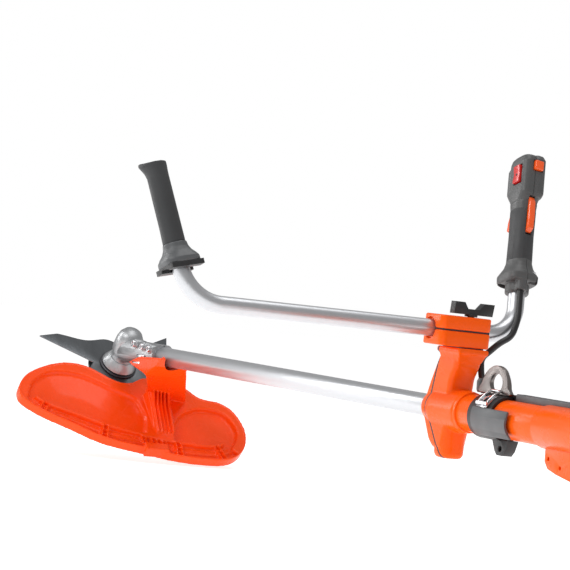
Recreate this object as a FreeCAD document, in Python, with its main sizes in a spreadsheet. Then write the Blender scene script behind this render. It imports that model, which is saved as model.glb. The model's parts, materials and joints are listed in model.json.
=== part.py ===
"""Brush cutter with a bicycle handlebar, modelled as separate named pieces in millimetres.

Machine frame used for modelling: the drive tube's axis is X, with the cutting head at -X and the
engine at +X. +Y is the operator's right and +Z is up. x = 0 is the handlebar's own axis. The three
frame_ cells move every piece to the row's frame, whose origin is on the floor under the middle.
"""
import FreeCAD, Part
import Sketcher
import math
import os

Vector = FreeCAD.Vector
Rotation = FreeCAD.Rotation
X_AXIS = Vector(1, 0, 0)
Y_AXIS = Vector(0, 1, 0)
Z_AXIS = Vector(0, 0, 1)

doc = FreeCAD.newDocument("brush_cutter")
sheet = doc.addObject("Spreadsheet::Sheet", "sizes")


# ---------------------------------------------------------------------------------------------
# Driving dimensions
# ---------------------------------------------------------------------------------------------

class Length(float):
    """A number that remembers the sheet formula it comes from."""

    def __new__(cls, value, formula):
        item = super().__new__(cls, value)
        item.formula = formula
        return item

    def __add__(self, other):
        return Length(float(self) + float(other), f"({formula_of(self)} + {formula_of(other)})")

    def __radd__(self, other):
        return Length(float(other) + float(self), f"({formula_of(other)} + {formula_of(self)})")

    def __sub__(self, other):
        return Length(float(self) - float(other), f"({formula_of(self)} - {formula_of(other)})")

    def __rsub__(self, other):
        return Length(float(other) - float(self), f"({formula_of(other)} - {formula_of(self)})")

    def __mul__(self, other):
        return Length(float(self) * float(other), f"({formula_of(self)} * {formula_of(other)})")

    def __neg__(self):
        return Length(-float(self), f"(0 - {formula_of(self)})")

    __rmul__ = __mul__


def formula_of(value):
    """The sheet formula of a Length, or a plain number in brackets."""
    if isinstance(value, Length):
        return value.formula
    return f"({float(value):.6f})"


row_count = 0


def cell(alias, value, note):
    """Write one driving dimension to the sheet and return it as a Length."""
    global row_count
    row_count += 1
    sheet.set(f"A{row_count}", note)
    sheet.set(f"B{row_count}", str(value))
    sheet.setAlias(f"B{row_count}", alias)
    return Length(value, f"sizes.{alias}")


frame_x = cell("frame_x", 342.3, "shift from the machine frame to the row frame, along X")
frame_y = cell("frame_y", 144.1, "the same, along Y")
frame_z = cell("frame_z", 187.2, "the same, along Z: the drive tube's axis above the floor")

tube_radius = cell("tube_radius", 16.0, "drive tube, outer radius")
tube_wall = cell("tube_wall", 1.8, "drive tube, wall")
shaft_radius = cell("shaft_radius", 4.0, "drive shaft, radius")
running = cell("running", 0.05, "radial running clearance of every pin and shaft")

head_reach = cell("head_reach", 1138.0, "spindle axis to handlebar axis, along the tube")
spindle_tilt = cell("spindle_tilt", 40.0, "spindle axis, degrees from vertical")
spindle_radius = cell("spindle_radius", 6.0, "spindle, radius")
blade_radius = cell("blade_radius", 150.0, "blade, radius at the tooth tips")
blade_thickness = cell("blade_thickness", 3.0, "blade, thickness")
blade_level = cell("blade_level", -40.5, "blade, top face along the spindle axis")
cup_radius = cell("cup_radius", 52.0, "glide cup, radius")

guard_level = cell("guard_level", -20.0, "guard plate, top face along the spindle axis")
guard_wall = cell("guard_wall", 3.0, "guard, wall")
skirt_drop = cell("skirt_drop", 17.0, "guard, depth of the outer skirt below the plate's top")

housing_radius = cell("housing_radius", 26.2, "orange housing tube, outer radius")
housing_wall = cell("housing_wall", 2.4, "orange housing tube, wall")
housing_start = cell("housing_start", 20.0, "orange housing tube, front end")
housing_end = cell("housing_end", 330.0, "orange housing tube, rear end")

bar_height = cell("bar_height", 110.7, "handlebar axis above the drive tube's axis")
bar_radius = cell("bar_radius", 12.0, "handlebar tube, outer radius")
bar_wall = cell("bar_wall", 2.0, "handlebar tube, wall")
bar_lean = cell("bar_lean", 18.0, "handlebar plane, degrees forward from vertical")
left_reach = cell("left_reach", 424.4, "handlebar axis corner, left of the middle")
right_reach = cell("right_reach", 83.0, "handlebar axis corner, right of the middle")
left_splay = cell("left_splay", 13.9, "left grip, degrees outward")
right_splay = cell("right_splay", 9.2, "right handle, degrees outward")
left_bend = cell("left_bend", 60.0, "left bend, radius on the tube's axis")
right_bend = cell("right_bend", 50.0, "right bend, radius on the tube's axis")

swivel_x = cell("swivel_x", 20.0, "wing screw and handlebar swivel axis, along X")
swivel_y = cell("swivel_y", -2.0, "the same, along Y")
screw_radius = cell("screw_radius", 5.0, "wing screw, radius")

eye_hole_height = cell("eye_hole_height", 46.0, "suspension eye, hole centre above the tube's axis")
eye_hole_radius = cell("eye_hole_radius", 11.0, "suspension eye, radius of the hole's ends")
lug_hole_radius = cell("lug_hole_radius", 4.3, "lower harness lug, hole radius")

crank_x = cell("crank_x", 362.0, "cylinder axis, along X")
bore_radius = cell("bore_radius", 21.0, "cylinder bore, radius")
tank_bottom = cell("tank_bottom", -150.0, "fuel tank, underside")
cable_radius = cell("cable_radius", 4.5, "throttle cable sleeve, radius")
doc.recompute()

HEAD_X = -head_reach


# ---------------------------------------------------------------------------------------------
# Building blocks
# ---------------------------------------------------------------------------------------------

def bind(obj, name, value):
    """Set a property, through the sheet where the value comes from a cell."""
    if isinstance(value, Length):
        obj.setExpression(name, value.formula)
    else:
        setattr(obj, name, value)


def put(obj, at=(0, 0, 0), turn=Rotation()):
    """Place an object, with each coordinate bound where it comes from a cell."""
    obj.Placement = FreeCAD.Placement(Vector(*[float(value) for value in at]), turn)
    for axis, value in zip("xyz", at):
        if isinstance(value, Length):
            obj.setExpression(f"Placement.Base.{axis}", value.formula)
    return obj


def rod(radius, length, at=(0, 0, 0), along=Z_AXIS):
    """A solid cylinder that starts at a point and runs along a direction."""
    obj = doc.addObject("Part::Cylinder", "Rod")
    bind(obj, "Radius", radius)
    bind(obj, "Height", length)
    return put(obj, at, Rotation(Z_AXIS, along))


def ring(inner, outer, length, at=(0, 0, 0), along=Z_AXIS):
    """A cylinder with a bore through it."""
    return carve(rod(outer, length, at, along), rod(inner, length, at, along))


def taper(first, second, length, at=(0, 0, 0), along=Z_AXIS):
    """A cone frustum that starts with the first radius."""
    obj = doc.addObject("Part::Cone", "Taper")
    bind(obj, "Radius1", first)
    bind(obj, "Radius2", second)
    bind(obj, "Height", length)
    return put(obj, at, Rotation(Z_AXIS, along))


def ball(radius, at=(0, 0, 0)):
    obj = doc.addObject("Part::Sphere", "Ball")
    bind(obj, "Radius", radius)
    return put(obj, at)


def block(span_x, span_y, span_z):
    """A box given by its low and high limit along each axis."""
    obj = doc.addObject("Part::Box", "Block")
    bind(obj, "Length", span_x[1] - span_x[0])
    bind(obj, "Width", span_y[1] - span_y[0])
    bind(obj, "Height", span_z[1] - span_z[0])
    return put(obj, (span_x[0], span_y[0], span_z[0]))


def soft_block(span_x, span_y, span_z, radius):
    """A box with all its edges rounded."""
    obj = doc.addObject("Part::Fillet", "SoftBlock")
    obj.Base = block(span_x, span_y, span_z)
    box_edges = 12
    obj.Edges = [(index, radius, radius) for index in range(1, box_edges + 1)]
    return obj


def join(*pieces):
    obj = doc.addObject("Part::MultiFuse", "Join")
    obj.Shapes = list(pieces)
    return obj


def carve(base, *tools):
    obj = doc.addObject("Part::Cut", "Carve")
    obj.Base = base
    obj.Tool = tools[0] if len(tools) == 1 else join(*tools)
    return obj


def overlap(first, second):
    obj = doc.addObject("Part::Common", "Overlap")
    obj.Base = first
    obj.Tool = second
    return obj


def bundle(*pieces):
    """Several separate solids that share one node."""
    obj = doc.addObject("Part::Compound", "Bundle")
    obj.Links = list(pieces)
    return obj


def origin_plane(body, role):
    return next(item for item in body.Origin.OriginFeatures if item.Role == role)


def pin_corner(sketch, index, kind, axis_index, value):
    """Fix one coordinate of a corner, on the sketch's axis where it is zero."""
    if float(value) == 0.0:
        sketch.addConstraint(Sketcher.Constraint("PointOnObject", index, 1, axis_index))
        return
    number = sketch.addConstraint(Sketcher.Constraint(kind, -1, 1, index, 1, float(value)))
    if isinstance(value, Length):
        sketch.setExpression(f"Constraints[{number}]", value.formula)


def closed_sketch(body, role, points):
    """A closed outline of straight lines, fully constrained from the origin."""
    sketch = body.newObject("Sketcher::SketchObject", "Outline")
    sketch.AttachmentSupport = [(origin_plane(body, role), "")]
    sketch.MapMode = "FlatFace"
    corners = [Vector(float(x), float(y), 0) for x, y in points]
    for start, end in zip(corners, corners[1:] + corners[:1]):
        sketch.addGeometry(Part.LineSegment(start, end), False)
    for index in range(len(corners)):
        following = (index + 1) % len(corners)
        sketch.addConstraint(Sketcher.Constraint("Coincident", index, 2, following, 1))
    for index, (x, y) in enumerate(points):
        pin_corner(sketch, index, "DistanceX", -2, x)
        pin_corner(sketch, index, "DistanceY", -1, y)
    return sketch


def turned(profile, at=(0, 0, 0), along=Z_AXIS):
    """A revolved body from (radius, distance along the axis) corners."""
    body = doc.addObject("PartDesign::Body", "Turned")
    sketch = closed_sketch(body, "XZ_Plane", profile)
    spin = body.newObject("PartDesign::Revolution", "Spin")
    spin.Profile = sketch
    spin.ReferenceAxis = (sketch, ["V_Axis"])
    spin.Angle = 360
    body.Tip = spin
    return put(body, at, Rotation(Z_AXIS, along))


def prism(points, thickness, at=(0, 0, 0), turn=Rotation()):
    """A padded outline of straight lines, standing on the XY plane before it is turned."""
    body = doc.addObject("PartDesign::Body", "Prism")
    sketch = closed_sketch(body, "XY_Plane", points)
    pad = body.newObject("PartDesign::Pad", "Pad")
    pad.Profile = sketch
    bind(pad, "Length", thickness)
    body.Tip = pad
    return put(body, at, turn)


SIDE_ON = Rotation(X_AXIS, 90)           # outline in X and Z, thickness towards -Y
END_ON = Rotation(Vector(1, 1, 1), 120)  # outline in Y and Z, thickness towards +X


def side_prism(points, width, middle=0.0):
    """An outline in X and Z with its thickness centred on y = middle."""
    return prism(points, width, (0, middle + width * 0.5, 0), SIDE_ON)


nodes = []


def node(name, obj, at=(0, 0, 0), turn=Rotation()):
    """Name a finished piece and place it in the row's frame."""
    if not obj.Placement.isIdentity():
        obj = bundle(obj)
    obj.Label = name
    put(obj, (frame_x + at[0], frame_y + at[1], frame_z + at[2]), turn)
    nodes.append(obj)
    return obj


def feature(shape):
    """A free-form piece whose shape is worked out here."""
    obj = doc.addObject("Part::Feature", "FreeForm")
    obj.Shape = shape
    return obj


# ---------------------------------------------------------------------------------------------
# Cutting head, in a frame whose Z is the spindle axis and whose origin is where that axis
# crosses the drive tube's axis. Local X points down and back towards the operator.
# ---------------------------------------------------------------------------------------------

HEAD_TURN = Rotation(Y_AXIS, float(spindle_tilt))
TUBE_WAY = HEAD_TURN.inverted().multVec(X_AXIS)  # the drive tube's direction in this frame


def head_node(name, obj):
    return node(name, obj, (HEAD_X, 0, 0), HEAD_TURN)


def on_tube(distance):
    """A point on the drive tube's axis, this far behind the spindle, in the head's frame."""
    point = TUBE_WAY * distance
    return (point.x, point.y, point.z)


SOCKET_END = 162.0      # rear end of the cast socket, behind the spindle axis
TUBE_START = 48.0       # front end of the drive tube inside the socket
SOCKET_RADIUS = 21.5
CAVITY_RADIUS = 16.4
DOME_CENTRE = 19.0
DOME_RADIUS = 20.5


def tube_frame_piece(obj):
    """Turn a piece modelled along the machine's axes into the head's frame."""
    return put(bundle(obj), (0, 0, 0), HEAD_TURN.inverted())


def gear_housing():
    lug_span = (82.0, SOCKET_END - 4)
    slit_half = 1.2
    outside = join(
        rod(DOME_RADIUS, 39, (0, 0, -20)),
        ball(DOME_RADIUS, (0, 0, DOME_CENTRE)),
        taper(31, 22, 16, (0, 0, -34)),
        rod(SOCKET_RADIUS, SOCKET_END, (0, 0, 0), TUBE_WAY),
        tube_frame_piece(soft_block(lug_span, (-9, 9), (12, 31), 3)),
    )
    inside = join(
        rod(CAVITY_RADIUS, 58.5, (0, 0, -34)),
        rod(10, 9, (0, 0, 24.3)),
        rod(tube_radius, SOCKET_END, on_tube(8), TUBE_WAY),
        tube_frame_piece(block((62, SOCKET_END + 1), (-slit_half, slit_half), (10, 35))),
        tube_frame_piece(bundle(*[
            rod(2.6, 24, (place, -12, 25.5), Y_AXIS) for place in LUG_SCREWS
        ])),
    )
    return carve(outside, inside)


LUG_SCREWS = (97.0, 142.0)


def clamp_screw(place):
    """A socket-head screw across the lug, with its nut on the other side."""
    head = carve(rod(4.5, 5, (place, 9, 25.5), Y_AXIS), rod(2.2, 3, (place, 11, 25.5), Y_AXIS))
    return join(head, rod(2.5, 23, (place, -13, 25.5), Y_AXIS), rod(4.4, 4, (place, -13, 25.5), Y_AXIS))


def bevel_gear(teeth, cone_angle, outer_distance, inner_distance, phase):
    """A straight-toothed bevel gear about Z, whose teeth all point at the origin."""
    addendum, dedendum = 0.55, 0.95

    def section(distance):
        scale = distance / outer_distance
        pitch = distance * math.sin(math.radians(cone_angle))
        level = distance * math.cos(math.radians(cone_angle))
        step = 2 * math.pi / teeth
        corners = []
        for tooth in range(teeth):
            middle = tooth * step + math.radians(phase)
            flanks = ((-0.30, -dedendum), (-0.13, addendum), (0.13, addendum), (0.30, -dedendum))
            for offset, height in flanks:
                radius = pitch + height * scale
                angle = middle + offset * step
                corners.append(Vector(radius * math.cos(angle), radius * math.sin(angle), level))
        return Part.makePolygon(corners + corners[:1])

    return Part.makeLoft([section(inner_distance), section(outer_distance)], True, True)


PINION_TEETH, CROWN_TEETH = 13, 19
PINION_CONE, CROWN_CONE = 20.0, 30.0
CONE_OUTER, CONE_INNER = 26.3, 17.0
PINION_BACK = CONE_OUTER * math.cos(math.radians(PINION_CONE))
CROWN_BACK = CONE_OUTER * math.cos(math.radians(CROWN_CONE))


def pinion_gear():
    """The pinion on the drive shaft: a tooth points up, at the crown gear."""
    teeth = bevel_gear(PINION_TEETH, PINION_CONE, CONE_OUTER, CONE_INNER, 90)
    hub = Part.makeCylinder(6.5, 7, Vector(0, 0, PINION_BACK - 0.01))
    return feature(teeth.fuse(hub).removeSplitter())


def crown_gear():
    """The crown gear on the spindle: a gap faces the pinion, along local X."""
    teeth = bevel_gear(CROWN_TEETH, CROWN_CONE, CONE_OUTER, CONE_INNER, 180 / CROWN_TEETH)
    hub = Part.makeCylinder(8.5, 4, Vector(0, 0, CROWN_BACK - 0.01))
    bore = Part.makeCylinder(float(spindle_radius), 40)
    return feature(teeth.fuse(hub).cut(bore).removeSplitter())


def head_bearings():
    lower = ring(spindle_radius + running, CAVITY_RADIUS, 9, (0, 0, -32))
    upper = ring(spindle_radius + running, 10, 5, (0, 0, 28))
    shaft = ring(shaft_radius + running, tube_radius, 9, on_tube(36), TUBE_WAY)
    return bundle(lower, upper, shaft)


def drive_flange():
    top = blade_level + 5.7
    return turned([
        (spindle_radius, top), (25, top), (29, top - 1.6), (34, top - 2.4),
        (34, blade_level), (spindle_radius, blade_level),
    ])


def polar(radius, degrees, level=0.0):
    angle = math.radians(degrees)
    return Vector(radius * math.cos(angle), radius * math.sin(angle), level)


BLADE_TEETH = 3
FIRST_TIP = -114.0
BACK_CURVE = ((0.82, -11), (0.66, -17), (0.51, -28), (0.46, -43), (0.45, -62), (0.38, -84), (0.30, -102))


def blade():
    """Three swept teeth: a straight cutting edge, an oblique end and a rounded back."""
    radius = float(blade_radius)
    level = float(blade_level)
    step = 360 / BLADE_TEETH
    edges = []
    for tooth in range(BLADE_TEETH):
        tip_angle = FIRST_TIP - tooth * step
        tip = polar(radius, tip_angle, level)
        back = [polar(radius * part, tip_angle + turn, level) for part, turn in BACK_CURVE]
        next_tip = polar(radius, tip_angle - step, level)
        curve = Part.BSplineCurve()
        curve.interpolate(back)
        edges += [
            Part.LineSegment(tip, back[0]).toShape(),
            curve.toShape(),
            Part.LineSegment(back[-1], next_tip).toShape(),
        ]
    face = Part.Face(Part.Wire(edges))
    plate = face.extrude(Vector(0, 0, -float(blade_thickness)))
    bore = Part.makeCylinder(float(spindle_radius), 20, Vector(0, 0, level - 10))
    return feature(plate.cut(bore))


def glide_cup():
    top = blade_level - blade_thickness
    return turned([
        (spindle_radius, top), (24, top), (30, top - 4), (44, top - 5), (cup_radius - 1, top - 7),
        (cup_radius, top - 9), (cup_radius - 5, top - 13), (24, top - 19), (16, top - 19),
        (16, top - 12), (spindle_radius, top - 12),
    ])


def hexagon(across_flats, length, at=(0, 0, 0), along=Z_AXIS):
    """A hexagonal prism, for nuts."""
    corner = across_flats / math.sqrt(3)
    points = [(corner * math.cos(math.radians(60 * k + 30)), corner * math.sin(math.radians(60 * k + 30)))
              for k in range(6)]
    return prism(points, length, at, Rotation(Z_AXIS, along))


def blade_nut():
    top = blade_level - blade_thickness - 12
    nut = join(hexagon(18, 8, (0, 0, top - 9.5)), rod(12, 1.5, (0, 0, top - 1.5)))
    return carve(nut, rod(spindle_radius, 14, (0, 0, top - 12)))


def spindle():
    bottom = blade_level - blade_thickness - 22
    return bundle(rod(spindle_radius, 33 - float(bottom), (0, 0, bottom)))


GUARD_OUTLINE = (
    (62, -28), (30, -79), (30, -132), (64, -196), (112, -222), (146, -196), (178, -140), (208, -84),
    (226, -9), (240, 60), (240, 138), (214, 180), (168, 199), (122, 192), (98, 170), (88, 130),
    (64, 104), (50, 60), (50, 28), (64, 2),
)


def guard_face(shrink=0.0):
    """The guard's plan outline as a smooth closed curve, optionally drawn in from its edge."""
    curve = Part.BSplineCurve()
    curve.interpolate([Vector(x, y, 0) for x, y in GUARD_OUTLINE], PeriodicFlag=True)
    if shrink:
        first, last = curve.FirstParameter, curve.LastParameter
        samples = 2 * len(GUARD_OUTLINE)
        points = []
        for index in range(samples):
            parameter = first + (last - first) * index / samples
            along = curve.tangent(parameter)[0]
            points.append(curve.value(parameter) + Vector(-along.y, along.x, 0) * shrink)
        curve = Part.BSplineCurve()
        curve.interpolate(points, PeriodicFlag=True)
    return Part.Face(Part.Wire([curve.toShape()]))


NECK_SIDE = ((46, -23), (46, 15), (72, 36), (128, 82), (147, 62), (150, -23))
NECK_INNER = ((49, -30), (49, 10), (74, 32), (125, 74), (144, 58), (147, -30))
NECK_Y = (-32.0, 54.0)
BRACKET_X = (104.0, 134.0)
BRACKET_WALL = 3.0
BRACKET_EAR = 31.0
EAR_LEVEL = -18.0
GUARD_SCREW = 2.5
GUARD_SCREWS = ((112.0, -26.0), (112.0, 26.0), (127.0, -26.0), (127.0, 26.0))


def guard():
    """A dished shield behind the blade, with an outer skirt and a hollow neck up to the tube."""
    wall = float(guard_wall)
    drop = float(skirt_drop)
    level = Vector(0, 0, float(guard_level) - wall)
    plate = guard_face().extrude(Vector(0, 0, wall))
    plate.translate(level)
    down = Vector(0, 0, -(drop - wall))
    rim = guard_face().extrude(down).cut(guard_face(wall).extrude(down))
    rim.translate(level)
    blade_room = Part.makeCylinder(float(blade_radius) + 10, 100, Vector(0, 0, -80))
    rim = rim.cut(blade_room)

    def neck(outline, low, high):
        points = [Vector(x, low, z) for x, z in outline]
        face = Part.Face(Part.makePolygon(points + points[:1]))
        return face.extrude(Vector(0, high - low, 0))

    low, high = NECK_Y
    tower = neck(NECK_SIDE, low, high)
    inside = neck(NECK_INNER, low + wall, high - wall)
    tube = Part.makeCylinder(SOCKET_RADIUS + 0.4, 400, Vector(), TUBE_WAY)
    first, last = BRACKET_X
    saddle_radius = SOCKET_RADIUS + BRACKET_WALL + 0.4
    saddle = Part.makeCylinder(saddle_radius, last - first + 0.8, TUBE_WAY * (first - 0.4), TUBE_WAY)
    shape = plate.fuse(rim).fuse(tower).cut(inside).cut(tube).cut(saddle)
    up = HEAD_TURN.inverted().multVec(Z_AXIS)
    for x, y in GUARD_SCREWS:
        foot = HEAD_TURN.inverted().multVec(Vector(x, y, EAR_LEVEL - 8))
        shape = shape.cut(Part.makeCylinder(GUARD_SCREW, 9, foot, up))
    return feature(shape.removeSplitter())


def guard_bracket():
    """A steel saddle that holds the guard's neck up against the cast socket."""
    first, last = BRACKET_X
    band = rod(SOCKET_RADIUS + BRACKET_WALL, last - first, (first, 0, 0), X_AXIS)
    ears = block(BRACKET_X, (-BRACKET_EAR, BRACKET_EAR), (EAR_LEVEL, EAR_LEVEL + BRACKET_WALL))
    bore = rod(SOCKET_RADIUS, last - first, (first, 0, 0), X_AXIS)
    above = block((first - 1, last + 1), (-40, 40), (-2, 40))
    holes = [rod(GUARD_SCREW, 10, (x, y, EAR_LEVEL - 1)) for x, y in GUARD_SCREWS]
    return carve(join(band, ears), bore, above, *holes)


def guard_screws():
    """Socket screws that go down through the saddle's ears into the neck."""
    screws = []
    top = EAR_LEVEL + BRACKET_WALL
    for x, y in GUARD_SCREWS:
        head = carve(rod(4.2, 4, (x, y, top)), hexagon(4, 4, (x, y, top + 2)))
        screws.append(join(head, rod(GUARD_SCREW, 7, (x, y, top - 7))))
    return bundle(*screws)


head_node("gear_housing", gear_housing())
node("gear_clamp_screws", bundle(*[clamp_screw(place) for place in LUG_SCREWS]), (HEAD_X, 0, 0))
node("pinion_gear", pinion_gear(), (HEAD_X, 0, 0), END_ON)
head_node("crown_gear", crown_gear())
head_node("spindle", spindle())
head_node("head_bearings", head_bearings())
head_node("drive_flange", drive_flange())
head_node("blade", blade())
head_node("glide_cup", glide_cup())
head_node("blade_nut", blade_nut())
head_node("guard", guard())
node("guard_bracket", guard_bracket(), (HEAD_X, 0, 0))
node("guard_screws", guard_screws(), (HEAD_X, 0, 0))


# ---------------------------------------------------------------------------------------------
# Drive tube and drive shaft
# ---------------------------------------------------------------------------------------------

TUBE_REAR = 36.0
DRUM_X = 382.0
BUSH_PLACES = (-1010.0, -740.0, -470.0, -200.0, 10.0)


def shaft_tube():
    start = HEAD_X + TUBE_START
    length = TUBE_REAR - start
    outside = rod(tube_radius, length, (start, 0, 0), X_AXIS)
    inside = rod(tube_radius - tube_wall, length, (start, 0, 0), X_AXIS)
    return carve(outside, inside)


def drive_shaft():
    start = HEAD_X + PINION_BACK + 7
    return bundle(rod(shaft_radius, DRUM_X - start, (start, 0, 0), X_AXIS))


def shaft_bushes():
    """Bushes pressed into the drive tube, in which the shaft runs."""
    bore = shaft_radius + running
    return bundle(*[ring(bore, tube_radius - tube_wall, 14, (place, 0, 0), X_AXIS) for place in BUSH_PLACES])


node("shaft_tube", shaft_tube())
node("drive_shaft", drive_shaft())
node("shaft_bushes", shaft_bushes())


# ---------------------------------------------------------------------------------------------
# Riser, split into a front and a rear shell, and the orange housing tube behind it
# ---------------------------------------------------------------------------------------------

FLANGE_TOP = 87.3
COVER_SIDE = 10.0
COVER_TOP = 36.0
COVER_REAR = 310.0
RISER_SEAM = ((-21, 90), (-34, 6), (-34, -10), (6, -72))
SEAM_GAP = 0.6
RISER_SCREWS = ((-40.0, 13.0, 40.0), (-40.0, 15.0, -28.0), (-25.0, 12.0, -52.0))


def riser_outside():
    column = side_prism(
        ((-24, 78), (-40, 40), (-50, 10), (-50, -12), (-30, -46), (-20, -60), (14, -60), (16, -20),
         (12, 40), (14, 78)), 42)
    return join(
        column,
        soft_block((-20, 34), (-23, 20), (76, FLANGE_TOP), 2.5),
        rod(20, 50, (-4, 0, -68), Z_AXIS),
        rod(30, 74, (-26, 0, 0), X_AXIS),
        taper(22, 30, 28, (-54, 0, 0), X_AXIS),
    )


def riser_bores():
    """The passages through the riser: drive tube, housing tube and wing screw."""
    return (
        rod(tube_radius, 120, (-60, 0, 0), X_AXIS),
        rod(housing_radius, 60, (housing_start, 0, 0), X_AXIS),
        rod(screw_radius + running, 34, (swivel_x, swivel_y, FLANGE_TOP - 30), Z_AXIS),
    )


def seam_side(in_front):
    """The region in front of the seam, or the region behind it."""
    line = list(RISER_SEAM)
    if in_front:
        shifted = [(x - SEAM_GAP, z) for x, z in line]
        return side_prism([(-90, 110)] + shifted + [(6, -90), (-90, -90)], 120)
    shifted = [(x + SEAM_GAP, z) for x, z in line]
    return side_prism([(80, 110), (80, -90), (8, -90)] + shifted[::-1] + [(-20, 110)], 120)


def riser_screw_places():
    return [(x, side * y, z) for x, y, z in RISER_SCREWS for side in (-1, 1)]


def screw_holes():
    """A counterbore for each head in the front shell and a hole for its thread."""
    holes = []
    for x, y, z in riser_screw_places():
        holes.append(rod(3.8, 14, (x - 10, y, z), X_AXIS))
        holes.append(rod(2.1, 38, (x, y, z), X_AXIS))
    return holes


def riser_screws():
    """Cap screws that go through the front shell into the rear shell."""
    screws = []
    for x, y, z in riser_screw_places():
        head = carve(rod(3.6, 3, (x + 1, y, z), X_AXIS), hexagon(3, 2, (x + 0.5, y, z), X_AXIS))
        screws.append(join(head, rod(2.1, 32, (x + 4, y, z), X_AXIS)))
    return bundle(*screws)


def riser_front():
    return carve(overlap(riser_outside(), seam_side(True)), *riser_bores(), *screw_holes())


def riser_rear():
    return carve(overlap(riser_outside(), seam_side(False)), *riser_bores(), *screw_holes())


def housing_tube():
    length = housing_end - housing_start
    tube = carve(
        rod(housing_radius, length, (housing_start, 0, 0), X_AXIS),
        rod(housing_radius - housing_wall, length, (housing_start, 0, 0), X_AXIS),
    )
    sleeve = ring(tube_radius, housing_radius - housing_wall, 14, (housing_start, 0, 0), X_AXIS)
    return join(tube, sleeve)


def cable_cover():
    """The channel on top of the housing tube that carries the throttle cable."""
    side = COVER_SIDE
    bar = soft_block((150, COVER_REAR), (side - 8, side + 8), (24, COVER_TOP), 2)
    channel = block((140, COVER_REAR + 10), (side - 4.8, side + 4.8), (20, COVER_TOP - 1.8))
    under = rod(housing_radius + 0.2, 200, (140, 0, 0), X_AXIS)
    return carve(bar, channel, under)


node("riser_front", riser_front())
node("riser_rear", riser_rear())
node("riser_screws", riser_screws())
node("housing_tube", housing_tube())
node("cable_cover", cable_cover())


# ---------------------------------------------------------------------------------------------
# Handlebar clamp on top of the riser: it swivels about the wing screw
# ---------------------------------------------------------------------------------------------

CLAMP_X = (-20.0, 34.0)
CLAMP_Y = (-54.0, 27.0)
CLAMP_LOW = 88.1
CLAMP_SPLIT = 1.2
CLAMP_TOP = 131.0


def clamp_bores():
    return (
        rod(bar_radius + running, 100, (0, -60, bar_height), Y_AXIS),
        rod(screw_radius + running, 70, (swivel_x, swivel_y, 75), Z_AXIS),
    )


def lower_clamp():
    base = soft_block(CLAMP_X, CLAMP_Y, (CLAMP_LOW, bar_height - CLAMP_SPLIT), 2)
    return carve(base, *clamp_bores())


def upper_clamp():
    cap = soft_block(CLAMP_X, CLAMP_Y, (bar_height + CLAMP_SPLIT, CLAMP_TOP), 2)
    return carve(cap, *clamp_bores())


def wing_screw():
    """A T-shaped knob with two upright wings on a screw that reaches down into the riser."""
    wings = prism(
        ((-31, 134), (31, 134), (33, 151), (17, 151), (9, 142), (-9, 142), (-15, 151), (-30, 151)),
        13, (swivel_x - 6.5, swivel_y, 0), END_ON)
    neck = rod(9, 3.6, (swivel_x, swivel_y, CLAMP_TOP + 0.3), Z_AXIS)
    screw = rod(screw_radius, CLAMP_TOP + 4 - FLANGE_TOP + 24, (swivel_x, swivel_y, FLANGE_TOP - 24), Z_AXIS)
    return join(wings, neck, screw)


node("lower_clamp", lower_clamp())
node("upper_clamp", upper_clamp())
node("wing_screw", wing_screw())


# ---------------------------------------------------------------------------------------------
# Harness fitting on the housing tube
# ---------------------------------------------------------------------------------------------

SADDLE_X = (84.0, 140.0)
LUG = (141.0, -40.0)


def eye_saddle():
    """A plastic ring round the housing tube, with a drilled lug underneath."""
    width = SADDLE_X[1] - SADDLE_X[0]
    band = ring(housing_radius, housing_radius + 4.3, width, (SADDLE_X[0], 0, 0), X_AXIS)
    lug = side_prism(((118, -27.5), (128, -44), (134, -49), (147, -49), (154, -42), (160, -27.5)), 16)
    web = rod(housing_radius, 100, (100, 0, 0), X_AXIS)
    hole = rod(lug_hole_radius, 30, (LUG[0], -15, LUG[1]), Y_AXIS)
    cable_groove = block((SADDLE_X[0] - 1, SADDLE_X[1] + 1), (4.8, 17), (20, 40))
    return carve(join(band, carve(lug, web)), hole, cable_groove)


def suspension_eye():
    """A thick steel loop that stands up from the saddle, with an oblong hole across the tube."""
    thickness = 7.0
    plate = side_prism(
        ((66, 31), (66, 44), (71, 56), (82, 64), (95, 67.5), (112, 67.5), (126, 63), (136, 53),
         (141, 40), (142, 31)), thickness)
    half = 14.0
    level = eye_hole_height
    hole = join(
        rod(eye_hole_radius, 20, (104 - half, -10, level), Y_AXIS),
        rod(eye_hole_radius, 20, (104 + half, -10, level), Y_AXIS),
        block((104 - half, 104 + half), (-10, 10), (level - eye_hole_radius, level + eye_hole_radius)),
    )
    return carve(plate, hole)


COVER_ANGLES = (-48.0, 22.0)


def arc_shell(inner, outer, low, high, length):
    """Part of a pipe about X, between two angles above the left horizontal."""
    pie = [Vector()]
    steps = 8
    reach = outer * 2
    for step in range(steps + 1):
        angle = math.radians(low + (high - low) * step / steps)
        pie.append(Vector(0, -reach * math.cos(angle), reach * math.sin(angle)))
    wedge = Part.Face(Part.makePolygon(pie + pie[:1])).extrude(Vector(length, 0, 0))
    wedge = wedge.common(Part.makeCylinder(outer, length, Vector(), X_AXIS))
    return wedge.cut(Part.makeCylinder(inner, length, Vector(), X_AXIS))


def clamp_cover():
    """The grey curved cover of the eye's quick clamp, on the left of the tube."""
    inner = float(housing_radius) + 4.6
    return feature(arc_shell(inner, inner + 3.2, *COVER_ANGLES, 88.0))


def latch_plate():
    """A slotted steel latch, hinged at the cover's upper edge and hooked over the eye's foot."""
    inner = float(housing_radius) + 4.6
    low, high = COVER_ANGLES[1] + 1.5, 64.0
    shell = arc_shell(inner, inner + 2.0, low, high, 26.0)
    slot = arc_shell(inner - 1, inner + 3, low + 12, high - 8, 9.0)
    slot.translate(Vector(8.5, 0, 0))
    return feature(shell.cut(slot))


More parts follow.
